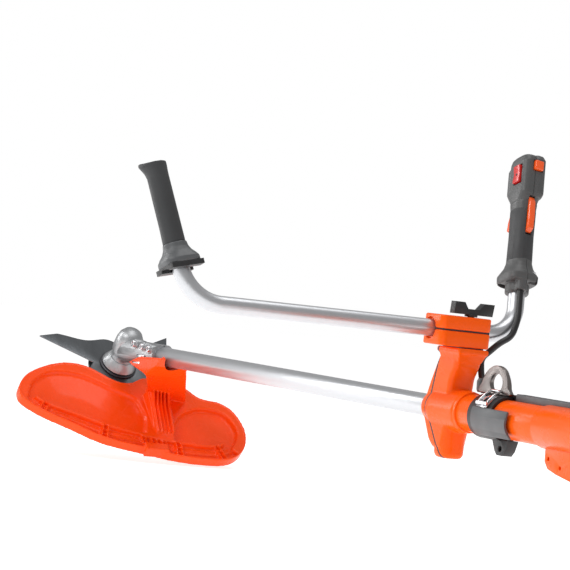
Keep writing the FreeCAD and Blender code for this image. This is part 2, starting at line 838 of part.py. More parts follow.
def eye_knob():
    """The tightening knob of the fitting, a flat tab on a short screw."""
    tab = soft_block((52, 62), (2.5, 13.5), (33, 52), 3)
    return join(tab, rod(3, 24, (57, 8, 31), Z_AXIS))


node("eye_saddle", eye_saddle())
node("suspension_eye", suspension_eye())
node("clamp_cover", clamp_cover(), (98, 0, 0))
node("latch_plate", latch_plate(), (104, 0, 0))
node("eye_knob", eye_knob())


# ---------------------------------------------------------------------------------------------
# Handlebar, in a frame whose origin is on the bar's axis at the clamp and whose Z is in the
# plane of the bar, so that the bar lies in that frame's YZ plane
# ---------------------------------------------------------------------------------------------

BAR_TURN = Rotation(Y_AXIS, -float(bar_lean))
LEFT_TURN = BAR_TURN.multiply(Rotation(X_AXIS, float(left_splay)))
RIGHT_TURN = BAR_TURN.multiply(Rotation(X_AXIS, -float(right_splay)))
LEFT_TUBE_TOP = 190.0
RIGHT_TUBE_TOP = 180.0


def bar_node(name, obj):
    return node(name, obj, (0, 0, bar_height), BAR_TURN)


def left_node(name, obj):
    return node(name, obj, (0, -left_reach, bar_height), LEFT_TURN)


def right_node(name, obj):
    return node(name, obj, (0, right_reach, bar_height), RIGHT_TURN)


def rounded_path(points, radii):
    """One wire of straight runs joined by tangent arcs, and its length."""
    edges = []
    start = points[0]
    for before, corner, after, radius in zip(points, points[1:], points[2:], radii):
        into = (corner - before).normalize()
        out = (after - corner).normalize()
        turn = into.getAngle(out)
        reach = radius * math.tan(turn / 2)
        first = corner - into * reach
        last = corner + out * reach
        inward = (out - into).normalize()
        middle = corner + inward * (radius / math.cos(turn / 2) - radius)
        edges.append(Part.LineSegment(start, first).toShape())
        edges.append(Part.Arc(first, middle, last).toShape())
        start = last
    edges.append(Part.LineSegment(start, points[-1]).toShape())
    wire = Part.Wire(edges)
    return wire, sum(edge.Length for edge in edges)


def tube_along(points, radii, outer, inner=0.0):
    """A round tube swept along a rounded path, with its volume checked."""
    wire, length = rounded_path(points, radii)
    way = (points[1] - points[0]).normalize()

    def sweep(radius):
        circle = Part.Wire([Part.Circle(points[0], way, radius).toShape()])
        return wire.makePipeShell([circle], True, False)

    shape = sweep(outer)
    expected = math.pi * outer ** 2 * length
    if inner:
        shape = shape.cut(sweep(inner))
        expected = math.pi * (outer ** 2 - inner ** 2) * length
    if abs(shape.Volume / expected - 1) > 0.01:
        raise RuntimeError("the swept tube's volume is not its section times its length")
    return shape


def handlebar():
    left_corner = Vector(0, -float(left_reach), 0)
    right_corner = Vector(0, float(right_reach), 0)
    left_way = Rotation(X_AXIS, float(left_splay)).multVec(Z_AXIS)
    right_way = Rotation(X_AXIS, -float(right_splay)).multVec(Z_AXIS)
    points = [
        left_corner + left_way * LEFT_TUBE_TOP, left_corner,
        right_corner, right_corner + right_way * RIGHT_TUBE_TOP,
    ]
    outer = float(bar_radius)
    return feature(tube_along(points, (float(left_bend), float(right_bend)), outer, outer - float(bar_wall)))


def left_grip():
    """A closed rubber grip with a flange at its top."""
    return turned([
        (bar_radius, 80), (15.5, 80), (15, 120), (14.6, 182), (18, 188), (18.6, 196), (16, 199.5),
        (0, 199.5), (0, LEFT_TUBE_TOP), (bar_radius, LEFT_TUBE_TOP),
    ])


def left_collar():
    """The flared hand stop below the left grip."""
    return turned([
        (bar_radius, 47), (24, 47), (27, 50), (31, 50), (30.5, 58), (24, 64), (17.5, 72), (16, 80),
        (bar_radius, 80),
    ])


HANDLE_HALF_GAP = 0.15
CABLE_PLACE = (17.0, -4.5)   # where the cable leaves the handle, behind the handlebar tube
HEAD_SPAN = (198.0, 272.0)


def handle_outside():
    grip = join(
        rod(16, 112, (-3.5, 0, 92), Z_AXIS),
        rod(16, 112, (3.5, 0, 92), Z_AXIS),
        block((-3.5, 3.5), (-16, 16), (92, 204)),
    )
    stop = side_prism(((-34, 88), (30, 88), (32, 96), (18, 108), (-18, 108), (-32, 98)), 60, -1)
    return join(
        grip,
        stop,
        rod(17, 24, (0, 0, 66), Z_AXIS),
        rod(8, 24, (*CABLE_PLACE, 66), Z_AXIS),
        soft_block((-27, 26), (-18, 18), HEAD_SPAN, 6),
    )


def handle_inside():
    """The tube bore, the head's cavity and the openings for the trigger, lock and switches."""
    return (
        rod(bar_radius, 120, (0, 0, 60), Z_AXIS),
        rod(cable_radius, 14, (*CABLE_PLACE, 60), Z_AXIS),
        block((-15, 15), (-14, 14), (RIGHT_TUBE_TOP + 20, 264)),
        block((-40, -11), (-5.2, 5.2), (158, 215)),
        block((11, 40), (-4.7, 4.7), (150, 208)),
        block((-8, 14), (-30, -9), (226, 256)),
        block((10, 40), (-4, 12), (246, 263)),
    )


TRIGGER_PIVOT = (-15.0, 206.0)
LOCK_PIVOT = (15.5, 156.0)
PIVOT_PIN = 1.2    # moulded pins of the left shell that carry the trigger and the lock
PIN_REACH = 6.0
HANDLE_SCREWS = ((-24.0, 28.0, 92.5), (22.0, 28.0, 92.5), (-21.5, 17.5, 222.0), (-21.5, 17.5, 267.0))


def handle_half(side):
    limit = (HANDLE_HALF_GAP, 50) if side > 0 else (-50, -HANDLE_HALF_GAP)
    half = overlap(handle_outside(), block((-60, 60), limit, (50, 290)))
    holes = [rod(1.6, 60, (x, y - 30, z), Y_AXIS) for x, y, z in HANDLE_SCREWS]
    pockets = [rod(3, 10, (x, y - 3, z), Y_AXIS) for x, y, z in HANDLE_SCREWS]
    shell = carve(half, *handle_inside(), *holes, *pockets)
    if side > 0:
        return shell
    pivots = (TRIGGER_PIVOT, LOCK_PIVOT)
    pins = [rod(PIVOT_PIN, PIN_REACH * 2, (x, -PIN_REACH - 2, z), Y_AXIS) for x, z in pivots]
    return join(shell, *pins)


PIVOT_BORE = PIVOT_PIN + 0.1


def pivot_bore(place):
    return rod(PIVOT_BORE, 20, (place[0], -10, place[1]), Y_AXIS)


def throttle_trigger():
    """The finger trigger: a curved lever that hangs from a cross pin at its top."""
    lever = side_prism(
        ((-14, 202), (-12.5, 206), (-15, 211), (-19, 209), (-23, 200), (-31, 180), (-33, 168), (-29, 165),
         (-24, 172), (-18, 190)), 9.6)
    return carve(lever, pivot_bore(TRIGGER_PIVOT))


def throttle_lock():
    """The palm lever that frees the trigger when the handle is gripped."""
    lever = side_prism(
        ((13.5, 153), (17, 153), (24, 158), (25.5, 176), (24.5, 198), (20, 206), (15, 206), (17, 198),
         (18, 165)), 8.6)
    return carve(lever, pivot_bore(LOCK_PIVOT))


def stop_switch():
    """A rocker that lies in the left shell's pocket."""
    return prism(((-10, 227), (-10, 255), (-4, 255), (0, 241), (-4, 227)), 14, (-3, -14.2, 0), END_ON)


def start_button():
    return soft_block((14, 29.5), (-2.8, 10.8), (247.5, 261.5), 1.5)


def handle_screws():
    """Screws that pull the right shell onto the left one."""
    screws = []
    for x, y, z in HANDLE_SCREWS:
        screws.append(join(rod(2.8, 2.4, (x, y - 3, z), Y_AXIS), rod(1.6, 22, (x, y - 25, z), Y_AXIS)))
    return bundle(*screws)


bar_node("handlebar", handlebar())
left_node("left_grip", left_grip())
left_node("left_grip_collar", left_collar())
right_node("handle_shell_left", handle_half(-1))
right_node("handle_shell_right", handle_half(1))
right_node("throttle_trigger", throttle_trigger())
right_node("throttle_lock", throttle_lock())
right_node("stop_switch", stop_switch())
right_node("start_button", start_button())
right_node("handle_screws", handle_screws())


# ---------------------------------------------------------------------------------------------
# Throttle cable: one span on the swivelling clamp and one along the fixed frame
# ---------------------------------------------------------------------------------------------

CABLE_JOINT = Vector(16, 38, 87)
JOINT_WAY = Vector(-4, -11, -12)
UPPER_ROUTE = ((14, 79, 134), (20, 68, 110))
LOWER_ROUTE = (
    (16, 28, 50), (34, 25, 36), (58, 19.5, 31.5), (86, 10, 29.3), (322, 10, 29.3),
    (348, 5, 50), (380, -3, 72), (415.5, -8, 82),
)


def cord_radii(points):
    """The largest arc that two runs allow at each turn of a cord's route."""
    radii = []
    for before, corner, after in zip(points, points[1:], points[2:]):
        shorter = min((corner - before).Length, (after - corner).Length)
        turn = (corner - before).getAngle(after - corner)
        radii.append(0.45 * shorter / math.tan(turn / 2))
    return radii


def cord(name, points):
    radii = cord_radii(points)
    print(f"{name} arc radii:", [round(radius) for radius in radii])
    return feature(tube_along(points, radii, float(cable_radius)))


def cable_exit():
    """Where the cable enters the handle's collar, and the direction down out of it."""
    corner = Vector(0, float(right_reach), float(bar_height))
    start = corner + RIGHT_TURN.multVec(Vector(*CABLE_PLACE, 74))
    return start, RIGHT_TURN.multVec(Vector(0, 0, -1))


def throttle_cable_upper():
    start, down = cable_exit()
    middle = [Vector(*point) for point in UPPER_ROUTE]
    points = [start, start + down * 26] + middle + [CABLE_JOINT - JOINT_WAY]
    return cord("throttle_cable_upper", points + [CABLE_JOINT])


def throttle_cable_lower():
    points = [CABLE_JOINT, CABLE_JOINT + JOINT_WAY] + [Vector(*point) for point in LOWER_ROUTE]
    return cord("throttle_cable_lower", points)


node("throttle_cable_upper", throttle_cable_upper())
node("throttle_cable_lower", throttle_cable_lower())


# ---------------------------------------------------------------------------------------------
# Engine: clutch, crankcase, cylinder, starter, tank and stand
# ---------------------------------------------------------------------------------------------

ENGINE_SHIFT = 110.0   # the engine's own frame starts this far behind the machine's
CONE_X = 332.0
CONE_REAR = 410.0
SHROUD_X = 300.0
CASE_X = (322.0, 396.0)
JOURNAL = 8.0


def engine_node(name, obj):
    node(name, obj, (ENGINE_SHIFT, 0, 0))


def clutch_housing():
    """A casting round the housing tube's rear end that widens to the crankcase, with a lower web."""
    outside = turned([
        (0, 240), (29, 240), (29, CONE_X), (62, 394), (64, 396), (64, CONE_REAR), (0, CONE_REAR),
    ], (0, 0, 0), X_AXIS)
    inside = turned([
        (0, 230), (housing_radius, 230), (housing_radius, CONE_X + 2), (59, 398), (59, CONE_REAR + 1),
        (0, CONE_REAR + 1),
    ], (0, 0, 0), X_AXIS)
    web = side_prism(((254, -20), (256, -44), (264, -53), (284, -58), (340, -67), (404, -67), (404, -20)), 22)
    holes = [rod(2.8, 40, (x, -20, z), Y_AXIS) for x, z in ((264.0, -40.0), (293.0, -49.0))]
    cable_slot = block((230, 338), (COVER_SIDE - 8.2, COVER_SIDE + 8.2), (10, 45))
    return carve(join(outside, web), inside, cable_slot, *holes)


def clutch_drum():
    return turned([
        (shaft_radius, 266), (9, 266), (9, 270), (40, 270), (40, 290), (38, 290), (38, 272),
        (shaft_radius, 272),
    ], (0, 0, 0), X_AXIS)


def clutch_shoes():
    """Two centrifugal shoes on the flywheel's hub."""
    shoes = []
    for side in (-1, 1):
        arc = ring(16, 36, 13, (274.5, 0, 0), X_AXIS)
        half = (2, 50) if side > 0 else (-50, -2)
        shoes.append(overlap(arc, block((270, 292), half, (-50, 50))))
    return bundle(*shoes)


def flywheel():
    """A fan wheel with curved vanes, and the hub that carries the clutch shoes."""
    blades = 18
    vanes = []
    for index in range(blades):
        angle = 360 * index / blades
        vane = put(bundle(block((300, 313), (26, 51), (-1.2, 1.2))), (0, 0, 0), Rotation(X_AXIS, angle))
        vanes.append(vane)
    body = join(rod(46, 4, (310, 0, 0), X_AXIS), rod(28, 16, (298, 0, 0), X_AXIS),
                rod(16, 26, (274.5, 0, 0), X_AXIS), *vanes)
    return carve(body, rod(JOURNAL, 60, (270, 0, 0), X_AXIS))


def crankcase():
    shroud = turned([
        (59, SHROUD_X), (64, SHROUD_X), (64, 322), (34, 322), (34, 318), (59, 318),
    ], (0, 0, 0), X_AXIS)
    body = soft_block(CASE_X, (-34, 34), (-36, 36), 4)
    room = rod(28, 32, (crank_x - 16, 0, 0), X_AXIS)
    bore = rod(JOURNAL + running, 120, (300, 0, 0), X_AXIS)
    throat = rod(bore_radius, 40, (crank_x, 0, 0), Z_AXIS)
    front_boss = rod(36, 8, (318, 0, 0), X_AXIS)
    return carve(join(shroud, body, front_boss), room, bore, throat)


def crankshaft():
    """The shaft, its balance disc and the cup that the starter's pawls turn."""
    shaft = rod(JOURNAL, 124, (288, 0, 0), X_AXIS)
    disc = rod(25, 24, (crank_x - 12, 0, 0), X_AXIS)
    cup = ring(14, 20, 8, (404, 0, 0), X_AXIS)
    plate = rod(20, 2, (402, 0, 0), X_AXIS)
    return join(shaft, disc, cup, plate)


FIN_STEP = 8.5
FIN_HALF = 35.0


def cylinder():
    low = 36.0
    barrel = rod(27, 74, (crank_x, 0, low), Z_AXIS)
    half = FIN_HALF
    fins = []
    for index in range(8):
        level = low + 6 + FIN_STEP * index
        fins.append(soft_block((crank_x - half, crank_x + half), (-half, half), (level, level + 2), 0.6))
    foot = soft_block((crank_x - 32, crank_x + 32), (-32, 32), (low, low + 4), 1)
    bore = rod(bore_radius, 68, (crank_x, 0, low - 1), Z_AXIS)
    plug_hole = rod(5, 20, (crank_x, 0, 100), Z_AXIS)
    return carve(join(barrel, foot, *fins), bore, plug_hole)


def piston():
    crown = 99.0
    body = rod(bore_radius - running, 34, (crank_x, 0, crown - 34), Z_AXIS)
    return carve(body, rod(17, 29, (crank_x, 0, crown - 35), Z_AXIS))


def spark_plug():
    shell = join(hexagon(16, 8, (crank_x, 0, 110.2)), rod(5, 8, (crank_x, 0, 102.4)))
    boot = join(rod(9, 16, (crank_x, 0, 118), Z_AXIS), rod(7, 26, (crank_x, 0, 127), X_AXIS))
    return join(shell, boot)


def carburettor():
    body = soft_block((crank_x - 17, crank_x + 17), (46, 74), (52, 86), 3)
    inlet = rod(12, 24, (crank_x, 22.5, 69), Y_AXIS)
    neck = rod(12, 8, (crank_x, 73, 69), Y_AXIS)
    return carve(join(body, inlet, neck), rod(26.8, 200, (crank_x, 0, 20), Z_AXIS), cylinder_box())


def cylinder_box():
    """The space of the cylinder's fins, which its neighbours stay out of."""
    half = FIN_HALF + 0.2
    return block((crank_x - half, crank_x + half), (-half, half), (30, 115))


CHOKE_PIN = 3.5
CHOKE_LEVEL = 48.0


def filter_cover():
    """A deep lid on a back plate that the carburettor's neck passes through."""
    outside = soft_block((322, 402), (76, 116), (34, 118), 10)
    inside = block((326, 398), (70, 112), (38, 114))
    rim = carve(block((324, 400), (76, 80), (36, 116)), block((328, 396), (70, 82), (40, 112)))
    back = carve(block((326.5, 397.5), (76.5, 79.5), (38.5, 113.5)), rod(12.2, 20, (crank_x, 70, 69), Y_AXIS))
    pin_hole = rod(CHOKE_PIN + running, 20, (332, 105, CHOKE_LEVEL), Y_AXIS)
    return carve(join(carve(outside, inside), rim, back), pin_hole)


def muffler():
    can = soft_block((324, 394), (-92, -44), (40, 110), 8)
    hollow = block((328, 390), (-88, -48), (44, 106))
    outlet = rod(7, 14, (386, -72, 84), X_AXIS)
    port = rod(11, 10, (crank_x, -45.4, 70), Y_AXIS)
    return carve(join(carve(can, hollow), outlet, port), rod(5.5, 30, (379, -72, 84), X_AXIS))


def engine_cover():
    """The orange hood over the cylinder, open below and at the intake and exhaust sides."""
    outside = soft_block((306, 412), (-62, 62), (70, 152), 14)
    inside = soft_block((309.5, 408.5), (-58.5, 58.5), (60, 148.5), 11)
    below = block((300, 420), (-70, 70), (60, 74))
    sides = block((318, 406), (-80, 80), (60, 121))
    slots = [block((322 + 11 * k, 327 + 11 * k), (-30, 30), (140, 160)) for k in range(8)]
    rear = block((404, 420), (-24, 24), (60, 90))
    return carve(outside, inside, below, sides, rear, *slots)


def starter_housing():
    shell = turned([
        (66, 398), (66, 410), (56, 426), (0, 430), (0, 426), (52, 422), (60, 408), (60, 398),
    ], (0, 0, 0), X_AXIS)
    vents = []
    count = 14
    for index in range(count):
        turn = Rotation(X_AXIS, 360 * index / count)
        slot = put(bundle(block((415, 435), (27, 46), (-2.4, 2.4))), (0, 0, 0), turn)
        vents.append(slot)
    web = ring(34, 60, 3, (397.9, 0, 0), X_AXIS)
    return join(carve(shell, *vents), web)


HANDLE_WAY = Vector(math.sin(math.radians(15)), 0, math.cos(math.radians(15)))
HANDLE_AT = Vector(424, 0, 62)


def starter_handle():
    """A T-shaped grip that sits on the starter housing's rope guide."""
    stem = taper(6, 9, 16, tuple(HANDLE_AT + HANDLE_WAY * 8), HANDLE_WAY)
    bar = rod(7.5, 52, tuple(HANDLE_AT + HANDLE_WAY * 26 + Vector(0, -26, 0)), Y_AXIS)
    return join(stem, bar)


TANK_CAP = (392.0, -104.0)
TANK_SIDE = 58.0
STAND_X = (336.0, 432.0)
STAND_RAIL = 49.0


def fuel_tank():
    side = TANK_SIDE
    outside = soft_block((312, 430), (-side, side), (tank_bottom, -66.5), 14)
    inside = soft_block((315, 427), (-side + 3, side - 3), (tank_bottom + 3, -69.5), 11)
    x, z = TANK_CAP
    way = Vector(0, -1, 0)
    neck = carve(rod(19, 12, (x, -side + 6, z), way), rod(15, 14, (x, -side + 5, z), way))
    return join(carve(outside, inside), neck)


def fuel_cap():
    """A ribbed screw cap over the tank's neck."""
    x, z = TANK_CAP
    way = Vector(0, -1, 0)
    face = -TANK_SIDE - 0.6
    knob = carve(rod(23, 15, (x, face, z), way), rod(19.3, 5.8, (x, face + 0.1, z), way))
    ribs = []
    for index in range(12):
        rib = bundle(block((-2, 2), (face - 15, face - 1), (21, 24.5)))
        ribs.append(put(rib, (x, 0, z), Rotation(Y_AXIS, 30 * index)))
    return join(knob, *ribs)


def engine_stand():
    """A moulded skid under the tank: its two rails and the guard's rear edge touch the floor."""
    first, last = STAND_X
    plate = block((first + 4, last - 4), (-STAND_RAIL - 8, STAND_RAIL + 8), (tank_bottom - 6, tank_bottom))
    rails = []
    for side in (-1, 1):
        middle = side * STAND_RAIL
        rails.append(soft_block(STAND_X, (middle - 9, middle + 9), (-frame_z, tank_bottom - 2), 3))
    return join(plate, *rails)


def choke_lever():
    arm = soft_block((328, 336), (116.6, 124), (44, 70), 1.5)
    return join(arm, rod(CHOKE_PIN, 6, (332, 115, CHOKE_LEVEL), Y_AXIS))


node("clutch_housing", clutch_housing())
engine_node("clutch_drum", clutch_drum())
engine_node("clutch_shoes", clutch_shoes())
engine_node("flywheel", flywheel())
engine_node("crankcase", crankcase())
engine_node("crankshaft", crankshaft())
engine_node("cylinder", cylinder())
engine_node("piston", piston())
engine_node("spark_plug", spark_plug())
engine_node("carburettor", carburettor())
engine_node("filter_cover", filter_cover())
engine_node("muffler", muffler())
engine_node("engine_cover", engine_cover())
engine_node("starter_housing", starter_housing())
engine_node("starter_handle", starter_handle())
engine_node("fuel_tank", fuel_tank())
engine_node("fuel_cap", fuel_cap())
engine_node("engine_stand", engine_stand())
engine_node("choke_lever", choke_lever())


# ---------------------------------------------------------------------------------------------
# Finish: check every object, then write each piece
# ---------------------------------------------------------------------------------------------

doc.recompute()
for item in doc.Objects:
    if "Invalid" in item.State or "Error" in item.State:
        raise RuntimeError(f"{item.Name} ({item.Label}) is {item.State}")
os.makedirs("parts", exist_ok=True)
for item in nodes:
    if item.Shape.isNull() or not item.Shape.isValid():
        raise RuntimeError(f"{item.Label} has no valid shape")
    item.Shape.exportStep(f"parts/{item.Label}.step")
    box = item.Shape.BoundBox
    print(f"{item.Label}: {len(item.Shape.Solids)} solids, {item.Shape.Volume / 1000:.1f} cm3, "
          f"x {box.XMin:.1f}..{box.XMax:.1f} y {box.YMin:.1f}..{box.YMax:.1f} "
          f"z {box.ZMin:.1f}..{box.ZMax:.1f}")
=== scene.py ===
"""Brush cutter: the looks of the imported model, with its camera, floor and light."""

import json
import math

import bmesh
import bpy
import numpy as np
from mathutils import Euler, Matrix, Vector


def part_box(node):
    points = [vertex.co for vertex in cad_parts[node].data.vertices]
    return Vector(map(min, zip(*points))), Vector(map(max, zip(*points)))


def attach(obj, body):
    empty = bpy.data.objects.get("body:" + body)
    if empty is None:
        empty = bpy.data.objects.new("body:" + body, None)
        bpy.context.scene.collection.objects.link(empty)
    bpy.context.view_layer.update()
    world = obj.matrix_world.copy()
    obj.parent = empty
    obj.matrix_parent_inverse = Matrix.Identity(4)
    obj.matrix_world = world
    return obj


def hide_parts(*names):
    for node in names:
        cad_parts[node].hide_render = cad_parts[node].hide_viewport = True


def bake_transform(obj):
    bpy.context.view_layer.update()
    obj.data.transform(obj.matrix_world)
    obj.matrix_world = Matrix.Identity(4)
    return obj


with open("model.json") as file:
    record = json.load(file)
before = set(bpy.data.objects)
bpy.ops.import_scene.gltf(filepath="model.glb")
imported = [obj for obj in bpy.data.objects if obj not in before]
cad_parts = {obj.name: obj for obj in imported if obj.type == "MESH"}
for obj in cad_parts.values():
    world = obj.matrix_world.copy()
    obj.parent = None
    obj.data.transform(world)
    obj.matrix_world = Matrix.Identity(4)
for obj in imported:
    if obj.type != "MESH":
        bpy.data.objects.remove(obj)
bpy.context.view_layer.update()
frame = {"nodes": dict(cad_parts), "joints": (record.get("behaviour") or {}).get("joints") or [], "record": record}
MM = 0.001

# Where the machine's own frame starts: on the drive tube's axis, under the handlebar's axis.
tube_low, tube_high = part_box("shaft_tube")
tube_middle = (tube_low + tube_high) / 2
clamp_low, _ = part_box("lower_clamp")
BAR_BEHIND_CLAMP_FRONT = 20 * MM
ORIGIN = Vector((clamp_low.x + BAR_BEHIND_CLAMP_FRONT, tube_middle.y, tube_middle.z))


# -- camera, floor and light -----------------------------------------------------------------------------

CAMERA_LENS = 162.2                         # millimetres, on a sensor 36 wide
CAMERA_PLACE = (3.0592, -1.8722, 0.1464)    # metres from the machine's origin
CAMERA_TURN = (90.0, -6.4276, 62.587)       # degrees about X, Y and Z
WORLD_LIGHT = 0.42                          # how strongly the surroundings light the model
FLOOR_REACH = 12                            # metres from the middle to the floor's edge


def add_camera():
    data = bpy.data.cameras.new("camera")
    data.sensor_width = 36
    data.lens = CAMERA_LENS
    data.clip_end = 50
    camera = bpy.data.objects.new("camera", data)
    bpy.context.scene.collection.objects.link(camera)
    camera.location = ORIGIN + Vector(CAMERA_PLACE)
    camera.rotation_euler = Euler([math.radians(angle) for angle in CAMERA_TURN], "XYZ")
    bpy.context.scene.camera = camera


def area_light(name, place, target, size, power):
    data = bpy.data.lights.new(name, "AREA")
    data.shape = "RECTANGLE"
    data.size, data.size_y = size
    data.energy = power
    lamp = bpy.data.objects.new(name, data)
    bpy.context.scene.collection.objects.link(lamp)
    lamp.location = place
    lamp.rotation_euler = (Vector(target) - Vector(place)).to_track_quat("-Z", "Y").to_euler()


def add_world():
    """White all round: dimmer where it lights the model than where the camera sees it."""
    world = bpy.data.worlds.new("studio")
    bpy.context.scene.world = world
    world.use_nodes = True
    tree = world.node_tree
    lighting = tree.nodes["Background"]
    lighting.inputs["Color"].default_value = (1, 1, 1, 1)
    lighting.inputs["Strength"].default_value = WORLD_LIGHT
    backdrop = tree.nodes.new("ShaderNodeBackground")
    backdrop.inputs["Color"].default_value = (1, 1, 1, 1)
    backdrop.inputs["Strength"].default_value = 1.0
    path = tree.nodes.new("ShaderNodeLightPath")
    choice = tree.nodes.new("ShaderNodeMixShader")
    tree.links.new(path.outputs["Is Camera Ray"], choice.inputs["Fac"])
    tree.links.new(lighting.outputs["Background"], choice.inputs[1])
    tree.links.new(backdrop.outputs["Background"], choice.inputs[2])
    tree.links.new(choice.outputs["Shader"], tree.nodes["World Output"].inputs["Surface"])


def add_stage():
    """A wide white floor under the model."""
    mesh = bpy.data.meshes.new("floor")
    corners = [(x * FLOOR_REACH, y * FLOOR_REACH, 0) for x, y in ((-1, -1), (1, -1), (1, 1), (-1, 1))]
    mesh.from_pydata(corners, [], [(0, 1, 2, 3)])
    floor = bpy.data.objects.new("floor", mesh)
    bpy.context.scene.collection.objects.link(floor)
    material = bpy.data.materials.new("floor_paint")
    material.use_nodes = True
    shader = material.node_tree.nodes["Principled BSDF"]
    shader.inputs["Base Color"].default_value = (0.92, 0.92, 0.92, 1)
    shader.inputs["Roughness"].default_value = 0.5
    shader.inputs["Specular IOR Level"].default_value = 0.2
    shader.inputs["Emission Color"].default_value = (1, 1, 1, 1)
    shader.inputs["Emission Strength"].default_value = 0.66
    mesh.materials.append(material)


add_camera()
add_world()
add_stage()
area_light("key", (0.2, -2.6, 2.4), (-0.2, 0, 0.3), (2.2, 1.2), 39)
area_light("left_strip", (-2.4, -1.8, 1.2), (0, 0, 0.25), (0.6, 2.0), 26)
area_light("top", (0.3, 0.3, 3.0), (0.1, 0, 0.2), (2.6, 1.6), 30)
bpy.context.scene.view_settings.view_transform = "Standard"


# -- materials -------------------------------------------------------------------------------------------

def add_node(tree, kind, **inputs):
    node = tree.nodes.new(kind)
    for name, value in inputs.items():
        node.inputs[name].default_value = value
    return node


def coordinates(tree, stretch=(1, 1, 1)):
    """Object coordinates in metres, optionally stretched along an axis."""
    source = tree.nodes.new("ShaderNodeTexCoord")
    mapping = tree.nodes.new("ShaderNodeMapping")
    mapping.inputs["Scale"].default_value = stretch
    tree.links.new(source.outputs["Object"], mapping.inputs["Vector"])
    return mapping.outputs["Vector"]


def noise(tree, vector, scale, detail=3.0, rough=0.55):
    node = add_node(tree, "ShaderNodeTexNoise", Scale=scale, Detail=detail, Roughness=rough)
    tree.links.new(vector, node.inputs["Vector"])
    return node.outputs["Fac"]


def ramp(tree, value, low, high, first, second):
    """Maps a 0..1 value between two colours."""
    node = tree.nodes.new("ShaderNodeValToRGB")
    node.color_ramp.elements[0].position = low
    node.color_ramp.elements[1].position = high
    node.color_ramp.elements[0].color = (*first, 1)
    node.color_ramp.elements[1].color = (*second, 1)
    tree.links.new(value, node.inputs["Fac"])
    return node.outputs["Color"]


def spread(tree, value, low, high):
    """Maps the middle of a noise's range to a range of its own."""
    node = tree.nodes.new("ShaderNodeMapRange")
    node.inputs["From Min"].default_value = 0.3
    node.inputs["From Max"].default_value = 0.7
    node.inputs["To Min"].default_value = low
    node.inputs["To Max"].default_value = high
    tree.links.new(value, node.inputs["Value"])
    return node.outputs["Result"]


def bump(tree, height, strength, distance):
    node = add_node(tree, "ShaderNodeBump", Strength=strength, Distance=distance)
    tree.links.new(height, node.inputs["Height"])
    return node.outputs["Normal"]


def surface(name, colour, shade, roughness, metallic=0.0, coat=0.0, grain=900.0, grain_depth=0.00004,
            grain_strength=0.25, patch=9.0, stretch=(1, 1, 1), gloss=0.5):
    """A finish with slow colour drift, uneven roughness and a fine surface grain."""
    material = bpy.data.materials.new(name)
    material.use_nodes = True
    tree = material.node_tree
    shader = tree.nodes["Principled BSDF"]
    vector = coordinates(tree, stretch)
    drift = noise(tree, vector, patch)
    fine = noise(tree, vector, grain, 2.0)
    dark = tuple(channel * shade for channel in colour)
    tree.links.new(ramp(tree, drift, 0.3, 0.7, dark, colour), shader.inputs["Base Color"])
    tree.links.new(spread(tree, noise(tree, vector, patch * 6), *roughness), shader.inputs["Roughness"])
    tree.links.new(bump(tree, fine, grain_strength, grain_depth), shader.inputs["Normal"])
    shader.inputs["Metallic"].default_value = metallic
    shader.inputs["Specular IOR Level"].default_value = gloss
    shader.inputs["Coat Weight"].default_value = coat
    shader.inputs["Coat Roughness"].default_value = 0.06
    return material


